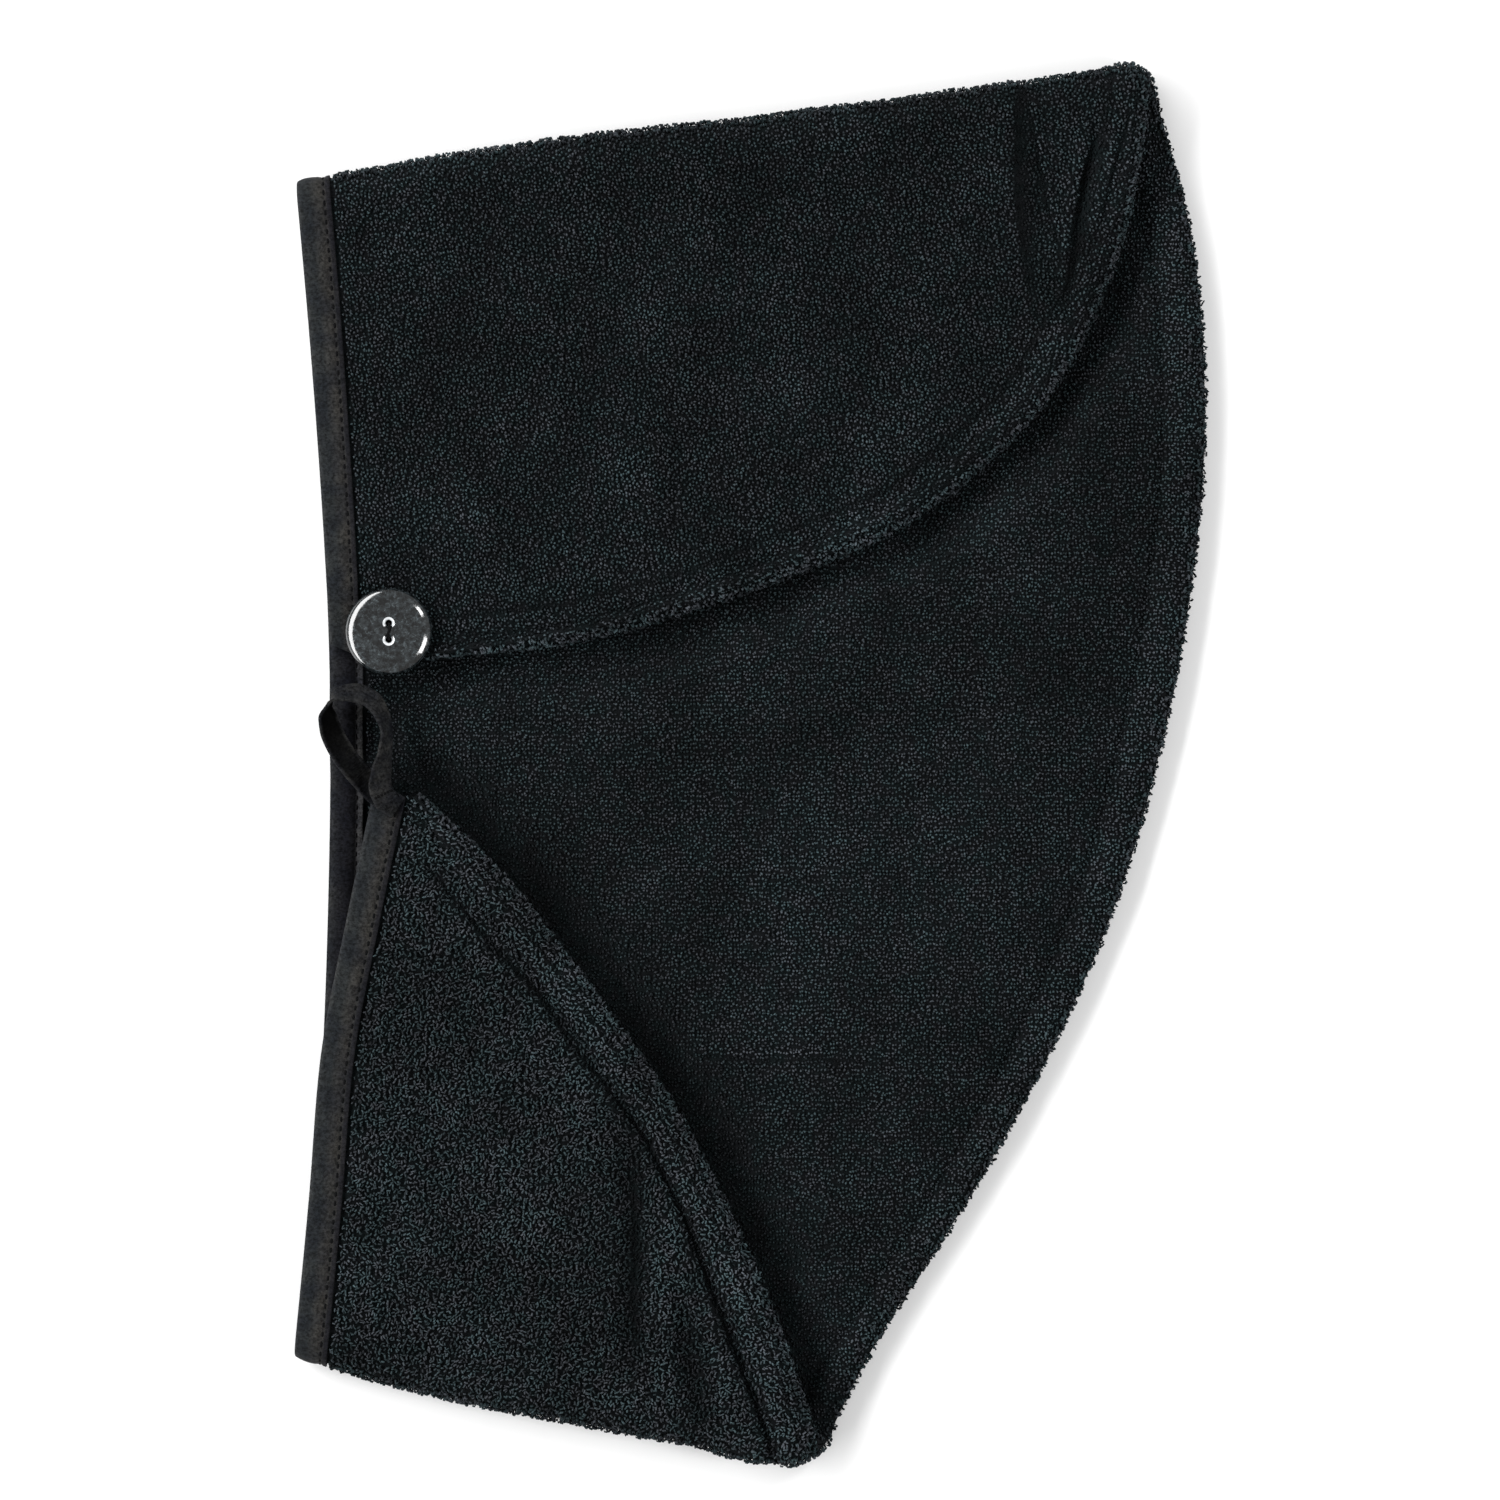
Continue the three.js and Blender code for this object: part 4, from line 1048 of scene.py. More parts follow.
def distance_from(material, where, x, y):
    """Each point's distance from a place as seen from above, in metres."""
    flat = add_node(material, "ShaderNodeMapping", where, Location=(-x, -y, 0), Scale=(1, 1, 0))
    length = add_node(material, "ShaderNodeVectorMath", flat.outputs["Vector"], 0)
    length.operation = "LENGTH"
    return length.outputs["Value"]


button_finish, links, shader = new_material(
    "button_plastic",
    Roughness=0.1,
    Specular_IOR_Level=0.9,
    IOR=1.6,
)
where = object_coordinates(button_finish)
clouds = noise(button_finish, where, 700, 5.0, 0.75)
swirls = noise(button_finish, where, 420, 3.0)
mottled = multiply(
    button_finish,
    blend(button_finish, clouds, (0.0004, 0.0006, 0.0008), (0.044, 0.055, 0.060), 0.42, 0.72),
    bands(button_finish, swirls, tone_stops(SWIRL_TONES)),
)
print("mottling made")

# %% Painted highlight rings and polish
# Each hole gets a pale ring: a painted highlight on the countersink
pale = mottled
for side in (-1, 1):
    away = distance_from(button_finish, where, BUTTON_PLAN[0], BUTTON_PLAN[1] + side * HOLE_OFFSET * MM)
    reach = map_range(button_finish, away, From_Max=PAINTED_HIGHLIGHT_RING_REACH)
    ring = bands(button_finish, reach, tone_stops(PAINTED_HIGHLIGHT_RING_TONES, PAINTED_HIGHLIGHT_RING_COLOUR))
    pale = mix(button_finish, "ADD", pale, ring)
# Between the holes, under the thread, the painted highlight rings are left open
away = distance_from(button_finish, where, *BUTTON_PLAN[:2])
opened = map_range(button_finish, away, From_Min=0.0017, From_Max=0.0021)
links.new(mix(button_finish, "MIX", mottled, pale, opened), shader.inputs["Base Color"])
polish = map_range(button_finish, clouds, From_Min=0.35, From_Max=0.65, To_Min=0.05, To_Max=0.16)
links.new(polish, shader.inputs["Roughness"])
bump(button_finish, shader, noise(button_finish, where, 500, 3.0), 0.00005, 0.6)
print("button finish made")

# %% Button shape
BUTTON_RADIUS = 12.5
BUTTON_THICKNESS = 3.4
BUTTON_DISH = 0.35
BUTTON_TILT = math.radians(4)
BUTTON_STANDOFF = 1.5
BUTTON_MIDDLE = np.append(place(BUTTON_PLACE), FLAP_TOP + BUTTON_STANDOFF + BUTTON_THICKNESS / 2)


def on_button(points):
    """Points about the button's middle, tilted about Y with the left side up, and put in place."""
    c, s = math.cos(BUTTON_TILT), math.sin(BUTTON_TILT)
    x, y, z = np.moveaxis(points, -1, 0)
    return np.stack([x * c + z * s, y, z * c - x * s], axis=-1) + BUTTON_MIDDLE


def turned(profile, sides):
    """A solid of revolution: the profile's radius and height carried round, closed at both poles."""
    profile = np.asarray(profile, float)
    angle = 2 * math.pi * np.arange(sides) / sides
    ring = np.stack([profile[:, :1] * np.cos(angle), profile[:, :1] * np.sin(angle),
                     profile[:, 1:] + 0 * angle], axis=-1)
    rows = len(profile)
    points = np.vstack([ring.reshape(-1, 3), [[0, 0, profile[0, 1]], [0, 0, profile[-1, 1]]]])
    around = np.arange(sides)
    after = (around + 1) % sides
    start = corners(rows * sides, after, around)
    last = (rows - 1) * sides
    end = corners(rows * sides + 1, last + around, last + after)
    return points, np.vstack([split_cells(grid_cells(rows, sides, closed=True)), start, end])


top = BUTTON_THICKNESS / 2
face = top - BUTTON_DISH
low_turn = np.radians(np.linspace(-90, -15, 6))
low_rim = np.column_stack([11.1 + 1.4 * np.cos(low_turn), -0.3 + 1.4 * np.sin(low_turn)])
# The rim's slope in degrees at each radius: its height is the sum of the slopes from the inside out
RIM_SLOPES = ([9.3, 9.9, 11.7, 12.05, 12.35, 12.5], [4, 18, 34, 48, 66, 75])
reach = np.linspace(9.3, BUTTON_RADIUS, 33)
tangent = np.tan(np.radians(np.interp(reach, *RIM_SLOPES)))
fall = np.concatenate([[0], np.cumsum((tangent[1:] + tangent[:-1]) / 2 * np.diff(reach))])
high_rim = np.column_stack([reach, top - fall])[::-2]
rim = np.vstack([low_rim, high_rim])
across = np.linspace(9.1, 6.8, 8)
dish = np.column_stack([across, top - BUTTON_DISH * smooth((9.3 - across) / 2.5)])
dish = np.vstack([dish, [(4.5, face), (1.5, face)]])
base = np.array([(2, -top), (6, -top), (9.5, -top)])
disc_points, disc_faces = turned(np.vstack([base, rim, dish]), 128)
button_piece = add_piece("button_disc", on_button(disc_points), disc_faces, button_finish)

# %% Button holes
sink = np.array([(0.85, -top - 1), (0.85, face - 1.0), (0.92, face - 0.7), (1.05, face - 0.46),
                 (1.26, face - 0.24), (1.5, face - 0.08), (1.75, face + 0.03), (1.85, face + 1)])
for side in (-1, 1):
    cut_points, cut_faces = turned(sink, 40)
    cut_points[:, 1] += side * HOLE_OFFSET
    cutter = add_piece("cutter", on_button(cut_points), cut_faces, button_finish)
    cut = button_piece.modifiers.new("hole", "BOOLEAN")
    cut.operation = "DIFFERENCE"
    cut.solver = "EXACT"
    cut.object = cutter
    ready = button_piece.evaluated_get(bpy.context.evaluated_depsgraph_get())
    drilled = bpy.data.meshes.new_from_object(ready)
    button_piece.modifiers.clear()
    button_piece.data = drilled
    bpy.data.objects.remove(cutter)
button_piece.data.set_sharp_from_angle(angle=math.radians(35))
print("button", len(button_piece.data.polygons), "faces")

# %% [markdown]
# The sewing thread goes up one hole, over the bridge and down the other, several times. So it is
# three thin strands side by side, each a tube along a curve, that cross over in a slight S.

# %% Button thread
def tube(path, radius, sides):
    """A round tube along a path: rings square to the heading, closed at both ends."""
    heading = unit(np.gradient(path, axis=0))
    side = unit(np.cross(heading, (1.0, 0.0, 0.0)))
    angle = (2 * math.pi * np.arange(sides) / sides)[:, None]
    rings = path[:, None] + radius * (np.cos(angle) * side[:, None]
                                      + np.sin(angle) * np.cross(heading, side)[:, None])
    return rings.reshape(-1, 3), ring_faces(len(path), sides)


STRAND_OFFSETS = (-0.24, 0.0, 0.24)
STRAND_RADIUS = 0.18
# The route's second half, as the distance from the button's middle and the height, from the foot up
crest = face + CLEARANCE + 0.45
half_way = [(HOLE_OFFSET, -top - BUTTON_STANDOFF + 0.5), (HOLE_OFFSET, 0), (2.25, face - 0.1), (1.3, crest)]
route = np.array([(0, -y, z) for y, z in half_way] + [(0, 0, crest + 0.1)]
                 + [(0, y, z) for y, z in half_way[::-1]])
strand_points, strand_faces, start = [], [], 0
for offset in STRAND_OFFSETS:
    line = curve_point(route, np.linspace(0, 1, 46))
    bow = np.clip(1 - np.abs(line[:, 1]) / HOLE_OFFSET, 0, 1)
    line[:, 0] += offset * (0.75 + 0.4 * bow) + 0.4 * np.sin(line[:, 1] * 1.3) * bow
    line[:, 2] += 0.1 * (offset == 0)
    points, faces = tube(line, STRAND_RADIUS, 9)
    strand_points.append(points)
    strand_faces.append(faces + start)
    start += len(points)
button_thread_piece = add_piece("button_thread_strands", on_button(np.vstack(strand_points)),
                                np.vstack(strand_faces), thread_finish)

# %% [markdown]
# ## The pile
# Terry is covered with small loops of yarn, about 1.5 mm long and 0.8 mm thick here, whose grain
# follows the cloth. Hair particles could stand for them, but a curved thread of a few faces keeps its
# shape in every program. On the tail flap the loops are finer and more tangled, and in the middle they
# stand in rows. Their roots are found by looking straight down at the cloth from a lattice of points,
# so loops grow only where the cloth shows.

# %% Looking down at the cloth
# The pile's parts by number, and whose each zone of a panel is
RIM_PILE = 0
HEAD_PILE = 1
TAIL_PILE = 2
MIDDLE_PILE = 3
PANEL_OWNER = {
    "under": {HEAD: HEAD_PILE, HEAD_TURN: HEAD_PILE, TAIL: TAIL_PILE, TAIL_TURN: TAIL_PILE},
    "upper": {BODY: MIDDLE_PILE},
}
BOUND_STRIP = 9.5
tree_points, tree_faces, owner, cell_relief, start = [], [], [], [], 0
for panel in ("under", "upper"):
    data, tape = panels[panel], bindings[panel]
    cells = len(data["cells"])
    owners = np.array([PANEL_OWNER[panel].get(zone, 0) for zone in data["zones"]])
    outer_owner = owners[:-1, None] * (data["from_bound"][:-1, :-1] >= BOUND_STRIP)
    outer_relief = data["relief"][:-1, :-1]
    for values, whole in ((outer_owner, owner), (outer_relief, cell_relief)):
        whole.append(np.zeros(cells + len(tape["faces"]), values.dtype))
        whole[-1][: values.size] = values.ravel()
    for points, faces in ((data["points"], data["cells"]), (tape["points"], tape["faces"])):
        tree_points.append(points)
        tree_faces.extend((faces + start).tolist())
        start += len(points)
owner = np.concatenate(owner)
cell_relief = np.concatenate(cell_relief)
tree = BVHTree.FromPolygons(np.vstack(tree_points).tolist(), tree_faces)
print("cells to look at", len(tree_faces))

# %% A lattice of looks
# How far the lattice reaches, how far past the towel its spots are kept, and from what height we look
LATTICE_REACH = 260.0
LATTICE_MARGIN = 3.0
LOOK_FROM = 60.0


def lattice(grain, across, along, jitter, brick, rng):
    """A jittered lattice over the towel, turned so that its long side follows the grain. Brick shifts
    every second line by a share of the pitch: with none, the loops stand in rows."""
    i = np.arange(-LATTICE_REACH, LATTICE_REACH, across)
    j = np.arange(-LATTICE_REACH, LATTICE_REACH, along)
    a, b = np.meshgrid(i, j, indexing="ij")
    b = b + along * brick * (np.arange(len(i))[:, None] % 2)
    a = a + rng.uniform(-jitter, jitter, a.shape) * across
    b = b + rng.uniform(-jitter, jitter, b.shape) * along
    heading = np.array([math.cos(grain), math.sin(grain)])
    side = np.array([heading[1], -heading[0]])
    spots = a[..., None] * side + b[..., None] * heading
    limit = np.array([FOLDED_WIDTH, FOLDED_LENGTH]) / 2 + LATTICE_MARGIN
    return spots[(np.abs(spots) < limit).all(axis=-1)]


def look_down(spots, wanted):
    """The roots, directions and relief where a look straight down first meets the wanted cloth."""
    down = Vector((0, 0, -1))
    found = [tree.ray_cast(Vector((x, y, LOOK_FROM)), down) for x, y in spots.tolist()]
    seen = [hit for hit in found if hit[0] is not None and owner[hit[2]] == wanted]
    keep = [hit for hit in seen if abs(hit[1].z) > 0.5]
    normals = np.array([hit[1] for hit in keep])
    relief = cell_relief[[hit[2] for hit in keep]]
    return np.array([hit[0] for hit in keep]), normals * np.sign(normals[:, 2:]), relief


# %% Growing the loops
# The least and most of a loop's length, rise and thickness as shares of its look's
LENGTH_RANGE = (0.75, 1.25)
LIFT_RANGE = (0.6, 1.3)
THICKNESS_RANGE = (0.8, 1.2)
LEAN = 0.25
FLOOR_CLEARANCE = 0.35
# The spread of the shades, and how light a loop's ends and the three sides of its ring are painted:
# painted shade at the ends and on the two lower sides, and a painted highlight along the crest
SHADE_SPREAD = (4.0, 5.0)
END_SHADE = 0.03
RING_SHADES = [1.0, 0.5, 0.5]


def grow(name, roots, normals, light, grain, look, rng):
    """Yarn loops on their roots. Along each, s goes from -1 to 1: it runs s x half its length along
    the grain, rises by 1 - s^2 and bends sideways by a C shape and an S shape. Light is painted light and
    shade in each loop's colour: lighter on a ridge, and darker down in a crease between its neighbours."""
    count = len(roots)
    s = np.linspace(-1, 1, look["stations"])
    s = np.sign(s) * np.abs(s) ** 0.8
    arch = 1 - s * s
    field = np.degrees(grain) + look["swirl"] * waves(roots[:, :2], 9, 40, 10, 21)
    field = field + 90 * (rng.random(count) < look["crossed"])
    angle = np.radians(field + rng.normal(0, look["spread"], count))
    heading = np.column_stack([np.cos(angle), np.sin(angle), 0 * angle])
    heading = unit(heading - normals * np.einsum("ij,ij->i", heading, normals)[:, None])
    side = np.cross(normals, heading)
    reach = look["length"] / 2 * rng.uniform(*LENGTH_RANGE, count)[:, None]
    bend = rng.normal(0, look["bend"], count)[:, None]
    twist = rng.normal(0, look["bend"], count)[:, None]
    lift = look["height"] * rng.uniform(*LIFT_RANGE, count)[:, None]
    lean = rng.normal(0, LEAN, count)[:, None]
    path = (roots[:, None]
            + (reach * s)[..., None] * heading[:, None]
            + (bend * arch + twist * np.sin(math.pi * s))[..., None] * side[:, None]
            + (lift * arch**0.75 - look["sink"])[..., None] * (normals + lean * side)[:, None])
    path[..., 2] = np.maximum(path[..., 2], FLOOR_CLEARANCE)
    thick = look["radius"] * rng.uniform(*THICKNESS_RANGE, count)
    points, faces = threads(path, thick[:, None] * (1 - 0.25 * s * s), unit(normals), 3)
    # Random tone times painted light and shade from the relief, then painted shade at the ends and sides
    shade = np.clip(rng.beta(*SHADE_SPREAD, count) * look["tone"] * light, 0, 1)
    weight_or_painted_shade = [END_SHADE, *RING_SHADES * (look["stations"] - 2), END_SHADE]
    return add_piece(name, points, faces, pile_finish, {"shade": np.outer(shade, weight_or_painted_shade).ravel()})


GRAIN_HEAD = math.radians(104.8)
GRAIN_TAIL = math.radians(69.2)
GRAIN_MIDDLE = math.radians(90)
FLAP_LOOK = {"stations": 3, "length": 1.6, "height": 1.0, "sink": 0.15, "radius": 0.42, "bend": 0.12,
             "swirl": 9, "spread": 20, "crossed": 0.1, "tone": 1.13}
TAIL_LOOK = {"stations": 4, "length": 1.45, "height": 1.1, "sink": 0.2, "radius": 0.34, "bend": 0.24,
             "swirl": 14, "spread": 30, "crossed": 0.15, "tone": 1.27}
MIDDLE_LOOK = {"stations": 3, "length": 1.45, "height": 0.8, "sink": 0.15, "radius": 0.43, "bend": 0.1,
               "swirl": 6, "spread": 24, "crossed": 0.4, "tone": 1.15}
LAYOUT = [
    # name, whose cloth, grain, look, (pitch across, pitch along, jitter, brick), number of pieces
    ("pile_head_flap", HEAD_PILE, GRAIN_HEAD, FLAP_LOOK, (0.94, 1.24, 0.32, 0.5), 2),
    ("pile_tail_flap", TAIL_PILE, GRAIN_TAIL, TAIL_LOOK, (0.92, 1.16, 0.4, 0.5), 1),
    ("pile_middle", MIDDLE_PILE, GRAIN_MIDDLE, MIDDLE_LOOK, (0.9, 1.26, 0.36, 0.0), 2),
]

# %% [markdown]
# Close to, the pile parts along fine creases and stands up in narrow ridges beside them. These are too
# fine for the ground cloth's grid, so they move the loops themselves: a loop in a crease is sunk a
# little and painted darker, as painted shade, and a loop on a ridge is lifted and painted lighter.
# Darker paint alone would show no step at the edge.

# %% Fine creases in the pile
LEFT_CREASE = [(0.8009, 0.9778), (0.8118, 0.9492), (0.8183, 0.9198), (0.8237, 0.9005),
               (0.8357, 0.8769), (0.84, 0.8597), (0.8368, 0.8289)]
MIDDLE_CREASE = [(0.877, 0.947), (0.8672, 0.9334), (0.8596, 0.9155), (0.8553, 0.9005),
                 (0.8509, 0.8891), (0.8477, 0.8618), (0.8433, 0.8397), (0.84, 0.811)]
RIGHT_CREASE = [(0.9075, 0.9542), (0.9021, 0.9391), (0.8944, 0.9234), (0.8879, 0.9098),
                (0.8836, 0.8891), (0.8727, 0.8769), (0.8694, 0.8576)]


def shifted(line, x):
    """A line of shares moved sideways by a share of the width."""
    return [(at_x + x, at_y) for at_x, at_y in line]


# The same columns as DRAG_LINES, for each cloth, with a width for the left and the right of the line
FINE_CREASES = {
    HEAD_PILE: [
        ([(0.79, 0.9778), (0.7911, 0.9492), (0.7889, 0.9291), (0.79, 0.9041), (0.7933, 0.8826),
          (0.7987, 0.8597), (0.8074, 0.8218)], (2.3, 0.7), (-0.7, -1.4, -1.6, -1.5, -1.2, -0.9, -0.3)),
        (LEFT_CREASE, (0.5, 0.9), (-0.4, -0.9, -0.9, -0.8, -0.7, -0.7, -0.3)),
        (shifted(LEFT_CREASE[:6], 0.0036), (0.7, 0.6), (0.3, 0.7, 0.7, 0.6, 0.5, 0.3)),
        (MIDDLE_CREASE, (2.8, 0.6), (-0.6, -1.7, -2.1, -1.7, -1.2, -0.9, -0.6, -0.3)),
        (shifted(MIDDLE_CREASE[1:7], -0.0054), (0.7, 0.9), (0.4, 0.7, 0.8, 0.8, 0.7, 0.3)),
        (RIGHT_CREASE, (1.2, 0.7), (-0.5, -1.3, -1.5, -1.5, -1.2, -1.0, -0.4)),
        (shifted(RIGHT_CREASE[:6], 0.0054), (0.9, 0.7), (0.4, 0.8, 0.9, 0.9, 0.8, 0.4)),
    ],
    TAIL_PILE: [
        (LONG_CREASE_END, 0.8, (-0.7, -1.1, -1.3, -1.3, -1.3, -1.3)),
        (LONG_CREASE, 0.9, (-1.3, -1.5, -1.6, -1.6, -1.5, -1.2)),
        ([(0.3732, 0.2062), (0.3743, 0.1632), (0.3732, 0.1167), (0.3765, 0.0809)], (2.2, 0.8),
         (-0.4, -1.1, -1.0, -0.3)),
    ],
    MIDDLE_PILE: [
        ([(0.4516, 0.2914), (0.5114, 0.2878), (0.5767, 0.289), (0.642, 0.2864)], 0.6,
         (-0.5, -0.9, -0.9, -0.4)),
        ([(0.4516, 0.2968), (0.5114, 0.2935), (0.5767, 0.2946)], 0.8, (0.4, 0.6, 0.4)),
    ],
}
print("fine creases", sum(len(lines) for lines in FINE_CREASES.values()))

# %% Lines beside the free edges
EDGE_OF = {HEAD_PILE: HEAD_FREE_EDGE, TAIL_PILE: TAIL_FREE_EDGE}
# Like the fine creases, these lines move the loops a little and paint light and shade on them
# Lines in the pile beside a flap's free edge: the distance from it, the width and the height, in mm
EDGE_LINES = {
    HEAD_PILE: [(0.5, 0.5, 0.5), (1.5, 0.4, -1.0), (2.9, 0.4, -0.9), (4.6, 0.45, -0.8), (10.6, 0.8, -0.7)],
    TAIL_PILE: [(0.6, 0.6, 0.5), (1.9, 0.4, -0.6), (4.8, 0.5, -1.0)],
}
# How far in from the free edge the pile is combed along it, in mm, and at what slant to it
COMBED = {HEAD_PILE: 6.0, TAIL_PILE: 9.0}
SLANT = {HEAD_PILE: math.radians(-12), TAIL_PILE: math.radians(8)}
# The pleats show mostly as painted light and shade, for they move the loops by a tenth of a mm at most
# Short slanted pleats in the head flap's seam, towards the fold: mm from pleat to pleat, their slope,
# how far in they reach, their height, and from where they show and over what length that grows
PLEATS = {"pitch": 2.5, "slope": math.radians(52), "reach": 8.0, "height": 0.32,
          "from": place((0.76, 0))[0], "growth": 25}


def pleats(flat, distance):
    """Sine waves across the pleats' slope, with a wavering phase, that fade away from the edge."""
    across = flat @ np.array([-math.sin(PLEATS["slope"]), math.cos(PLEATS["slope"])])
    shown = bell(distance, PLEATS["reach"]) * smooth((flat[:, 0] - PLEATS["from"]) / PLEATS["growth"])
    phase = 2 * math.pi * across / PLEATS["pitch"] + waves(flat, 8, 20, 6, 31)
    return PLEATS["height"] * shown * np.sin(phase)


def edge_lines(wanted, flat, grain):
    """The relief of the lines beside a flap's free edge, and the grain, which is combed beside it."""
    distance, heading = beside(EDGE_OF[wanted], flat)
    relief = sum(height * bell(distance - middle, width) for middle, width, height in EDGE_LINES[wanted])
    if wanted == HEAD_PILE:
        relief = relief + pleats(flat, distance)
    return relief, np.where(distance < COMBED[wanted], heading + SLANT[wanted], grain)


print("lines beside the free edges", sum(len(lines) for lines in EDGE_LINES.values()))

# %% Growing the pile
# How much a mm of the cloth's relief, and of the fine relief, makes a loop's colour lighter or darker,
# as painted light and shade, and the least and most of that; how far a loop moves for a mm of fine
# relief, and the least and most of that
RELIEF_SHADE = 0.62
FINE_SHADE = 1.9
LIGHT_RANGE = (0.02, 1.8)
SINKING = 0.3
SINKING_RANGE = (-0.3, 0.2)
# Beside the tail flap the middle's pile is pressed a little and painted darker, a painted shadow of
# the flap: how deep and how far
PRESSED_AND_SHADOW_DEPTH = 0.42
PRESSED_AND_SHADOW_REACH = 11.0
pile_pieces = {HEAD_PILE: [], TAIL_PILE: [], MIDDLE_PILE: []}
for name, wanted, grain, look, pitch, shares in LAYOUT:
    rng = np.random.default_rng(100 + wanted)
    roots, normals, relief = look_down(lattice(grain, *pitch, rng), wanted)
    flat = roots[:, :2]
    fine = line_relief(flat, FINE_CREASES[wanted])
    grains = np.full(len(roots), grain)
    if wanted == MIDDLE_PILE:
        # Pressed a little, and a painted shadow of the tail flap on the middle's pile
        fine -= PRESSED_AND_SHADOW_DEPTH * bell(beside(TAIL_FREE_EDGE, flat)[0], PRESSED_AND_SHADOW_REACH)
    else:
        lines, grains = edge_lines(wanted, flat, grain)
        fine += lines
    # Painted light and shade: a loop's colour made lighter on ridges and darker in creases
    light = np.clip(np.exp(RELIEF_SHADE * relief + FINE_SHADE * fine), *LIGHT_RANGE)
    roots = roots + normals * np.clip(SINKING * fine, *SINKING_RANGE)[:, None]
    limits = np.quantile(roots[:, 1], np.linspace(0, 1, shares + 1))
    limits[-1] += 1
    for k in range(shares):
        part = (roots[:, 1] >= limits[k]) & (roots[:, 1] < limits[k + 1])
        title = name if shares == 1 else f"{name}_{k + 1}"
        piece = grow(title, roots[part], normals[part], light[part], grains[part], look, rng)
        pile_pieces[wanted].append(piece)

# %% [markdown]
# Looking down misses the steep rims, which the low views see best. There the loops' roots are
# scattered over the cells of the panels' grids that stand steeply, in proportion to their area.

# %% Loops on the rims
RIM_LOOK = {"stations": 4, "length": 1.7, "height": 1.4, "sink": 0.3, "radius": 0.38, "bend": 0.25,
            "swirl": 20, "spread": 45, "crossed": 0.2, "tone": 0.8}
RIM_LOOPS_PER_MM2 = 0.7
RIM_LIGHT_RANGE = (0.2, 1.5)
# A cell is steep where its facing up is less than this, round a fold and in the seam's last mm
STEEP_AT_FOLD = 0.62
STEEP_AT_SEAM = 0.93
SEAM_RIM = 5.0


def scatter(grid, chosen, density, rng):
    """Random places on the chosen cells: each cell holds its area times the density, rounded up or
    down at random, and each place is a blend of the cell's four corners."""
    a, b = grid[:-1, :-1], grid[:-1, 1:]
    c, d = grid[1:, :-1], grid[1:, 1:]
    cross = np.cross(c - b, d - a)
    area = np.linalg.norm(cross, axis=-1) / 2
    count = np.floor(area * density * chosen + rng.uniform(0, 1, area.shape) * chosen).astype(int)
    rows, columns = np.nonzero(count)
    repeat = np.repeat(np.arange(len(rows)), count[rows, columns])
    i, j = rows[repeat], columns[repeat]
    u, v = rng.uniform(0, 1, (2, len(i), 1))
    spot = (a[i, j] * (1 - u) + b[i, j] * u) * (1 - v) + (c[i, j] * (1 - u) + d[i, j] * u) * v
    return spot, unit(cross[i, j]), i, j


def rim_cells(panel):
    """The cells that stand steeply: round the folds, and in the last 5 mm before the seam."""
    data = panels[panel]
    grid = data["outside"]
    facing = unit(np.cross(grid[1:, :-1] - grid[:-1, 1:], grid[1:, 1:] - grid[:-1, :-1]))[..., 2]
    zone = data["zones"][:-1, None]
    fold = ((zone == HEAD_TURN) | (zone == TAIL_TURN)) & (panel == "under")
    rim = data["from_seam"][:-1, 1:] < SEAM_RIM
    steep = fold & (np.abs(facing) < STEEP_AT_FOLD) | rim & (np.abs(facing) < STEEP_AT_SEAM)
    return steep & (data["from_bound"][:-1, :-1] > BOUND_STRIP)


rng = np.random.default_rng(7)
spots, directions, reliefs = [], [], []
for panel, side in (("under", 1), ("upper", -1)):
    data = panels[panel]
    spot, direction, i, j = scatter(data["outside"], rim_cells(panel), RIM_LOOPS_PER_MM2, rng)
    spots.append(spot)
    directions.append(direction * side)
    reliefs.append(data["relief"][i, j])
    print(panel, "rim loops", len(spot))
# The rim loops get painted light and shade from the cloth's relief too
light = np.clip(np.exp(RELIEF_SHADE * np.concatenate(reliefs)), *RIM_LIGHT_RANGE)
rim_piece = grow("pile_rims", np.vstack(spots), np.vstack(directions), light, GRAIN_MIDDLE, RIM_LOOK, rng)
pile_pieces[RIM_PILE] = [rim_piece]

# %% [markdown]
# ## What each piece stands for
# The new pieces replace the imported solids in the picture, and every piece rides on the one body.
# Each panel is cut about 66 cm long and up to 27 cm wide.

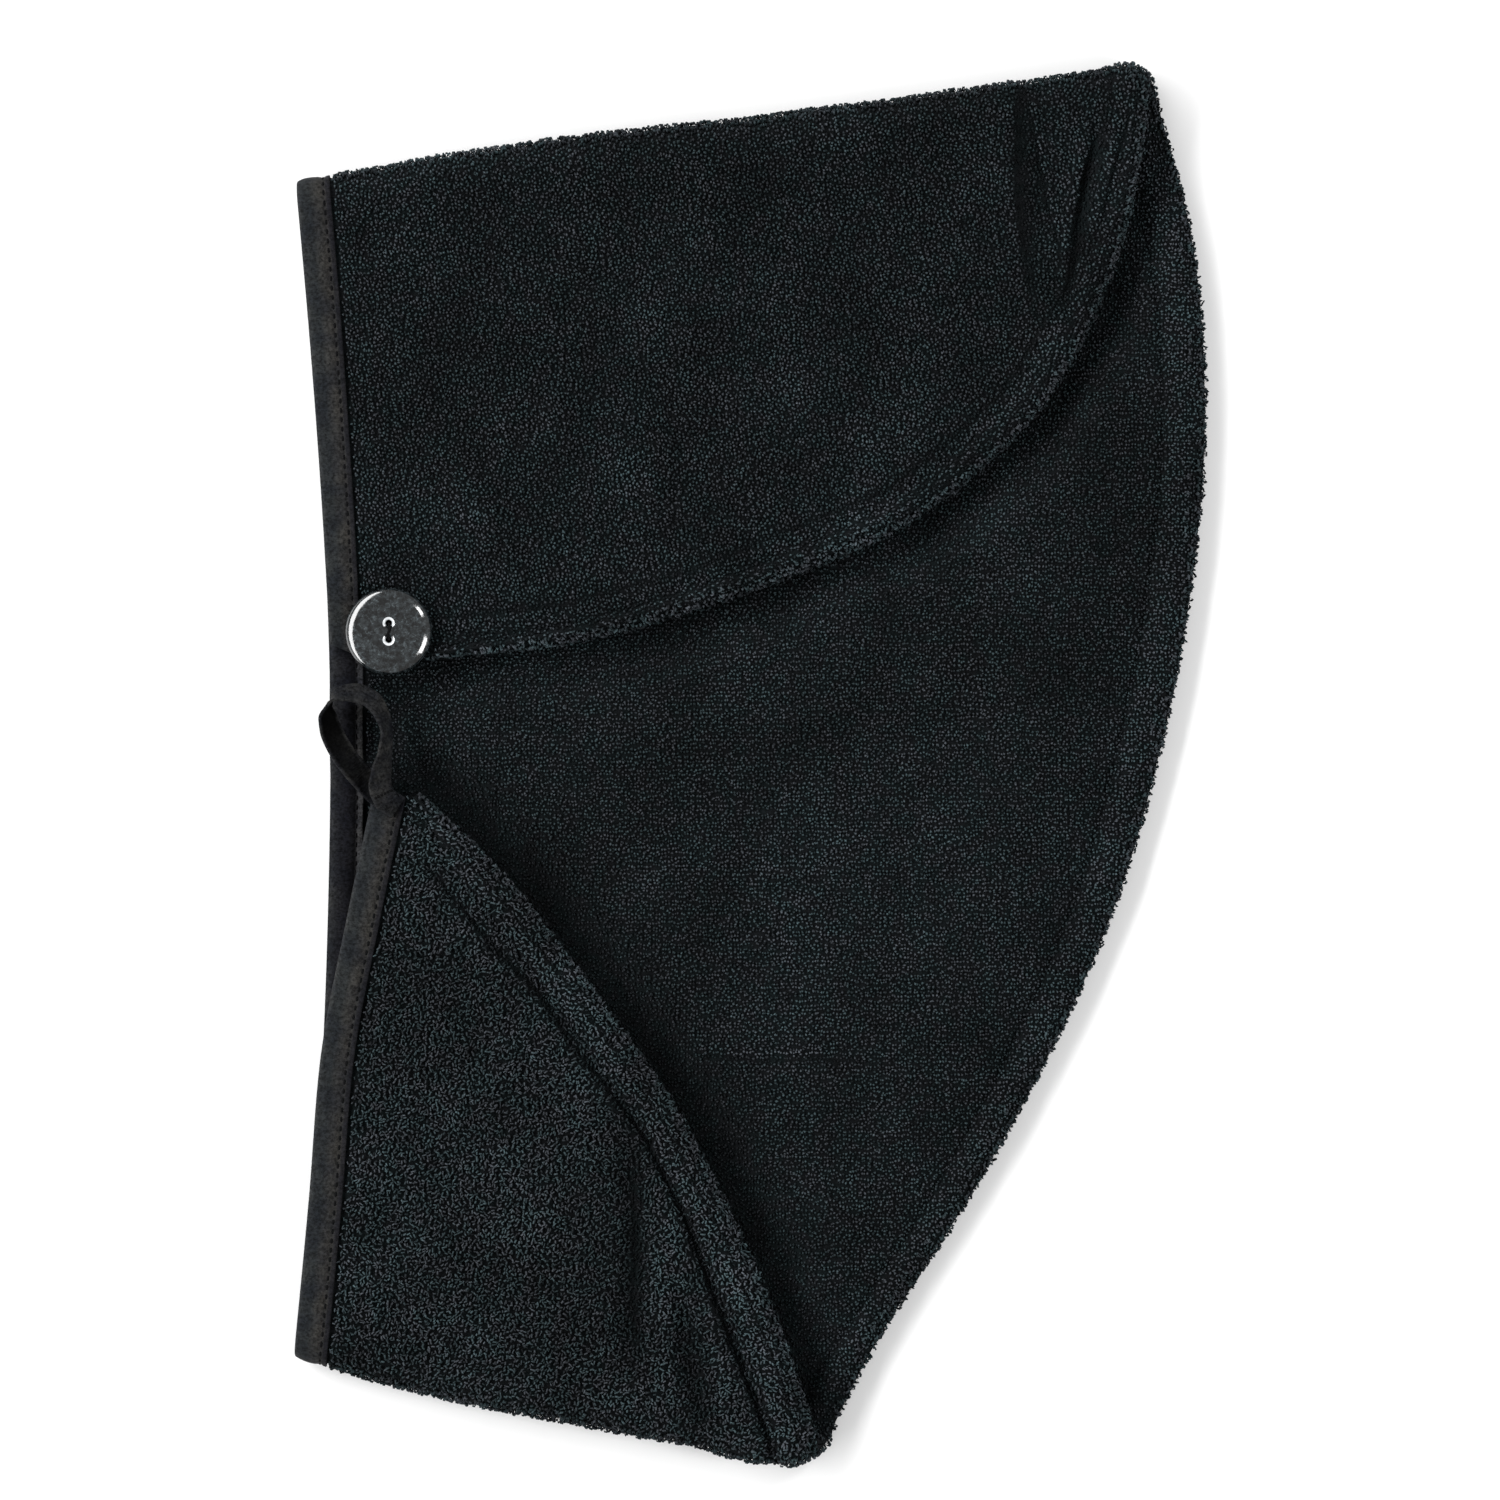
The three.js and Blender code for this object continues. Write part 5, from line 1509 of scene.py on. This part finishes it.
# %% Replaced parts and rides
REPLACED = [
    (panels["under"]["piece"], "under_panel", "terry"),
    (panels["upper"]["piece"], "upper_panel", "terry"),
    (bindings["under"]["piece"], "under_binding", "binding_tape"),
    (bindings["upper"]["piece"], "upper_binding", "binding_tape"),
    (loop_piece, "button_loop", "binding_tape"),
    (button_piece, "button", "button_plastic"),
    (button_thread_piece, "button_thread", "sewing_thread"),
]
for piece, node, slot in REPLACED:
    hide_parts(node)
    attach(piece, "root")
ADDED = [(foot_stitches, "sewing_thread")]
ADDED += [(piece, "terry") for piece in sum(pile_pieces.values(), [])]
ADDED += [(bindings[panel]["stitches"], "sewing_thread") for panel in ("under", "upper")]
for piece, slot in ADDED:
    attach(piece, "root")

# %% [markdown]
# ## Floor and light
# The photograph has a plain white ground and soft studio light from the left and above. A pale sky
# gives the soft part. A long strip light on the left and two small ones on the right shape the pile
# and give the three bright glints on the button's rim.

# %% Floor
FLOOR_SIZE = 3000.0
floor_finish = new_material("pale_floor", Base_Color=(0.9, 0.9, 0.9, 1), Roughness=1.0)[0]
floor_corners = np.array([(-1, -1, 0), (1, -1, 0), (1, 1, 0), (-1, 1, 0)]) * FLOOR_SIZE
floor_piece = add_piece("floor", floor_corners - SHIFT, np.array([[0, 1, 2, 3]]), floor_finish)

# %% Lights
world = bpy.data.worlds.new("studio")
world.use_nodes = True
sky = world.node_tree.nodes["Background"]
sky.inputs["Color"].default_value = (1, 1, 1, 1)
sky.inputs["Strength"].default_value = 0.31
bpy.context.scene.world = world


def studio_light(name, azimuth, elevation, distance, width, height, watts):
    """A rectangular area light round the towel, in degrees and metres, turned to face it."""
    data = bpy.data.lights.new(name, "AREA")
    data.shape = "RECTANGLE"
    data.size = width
    data.size_y = height
    data.energy = watts
    light = bpy.data.objects.new(name, data)
    a, e = math.radians(azimuth), math.radians(elevation)
    spot = Vector((math.cos(a) * math.cos(e), math.sin(a) * math.cos(e), math.sin(e))) * distance
    light.location = spot
    light.rotation_euler = (-spot).to_track_quat("-Z", "Y").to_euler()
    bpy.context.scene.collection.objects.link(light)


studio_light("left_strip", 166, 36, 1.5, 4.8, 0.5, 70)
studio_light("right_upper", 36, 36, 1.5, 0.34, 0.4, 6)
studio_light("right_lower", -20, 36, 1.5, 0.56, 0.5, 11)
bpy.context.scene.view_settings.view_transform = "Standard"
print("lights made")
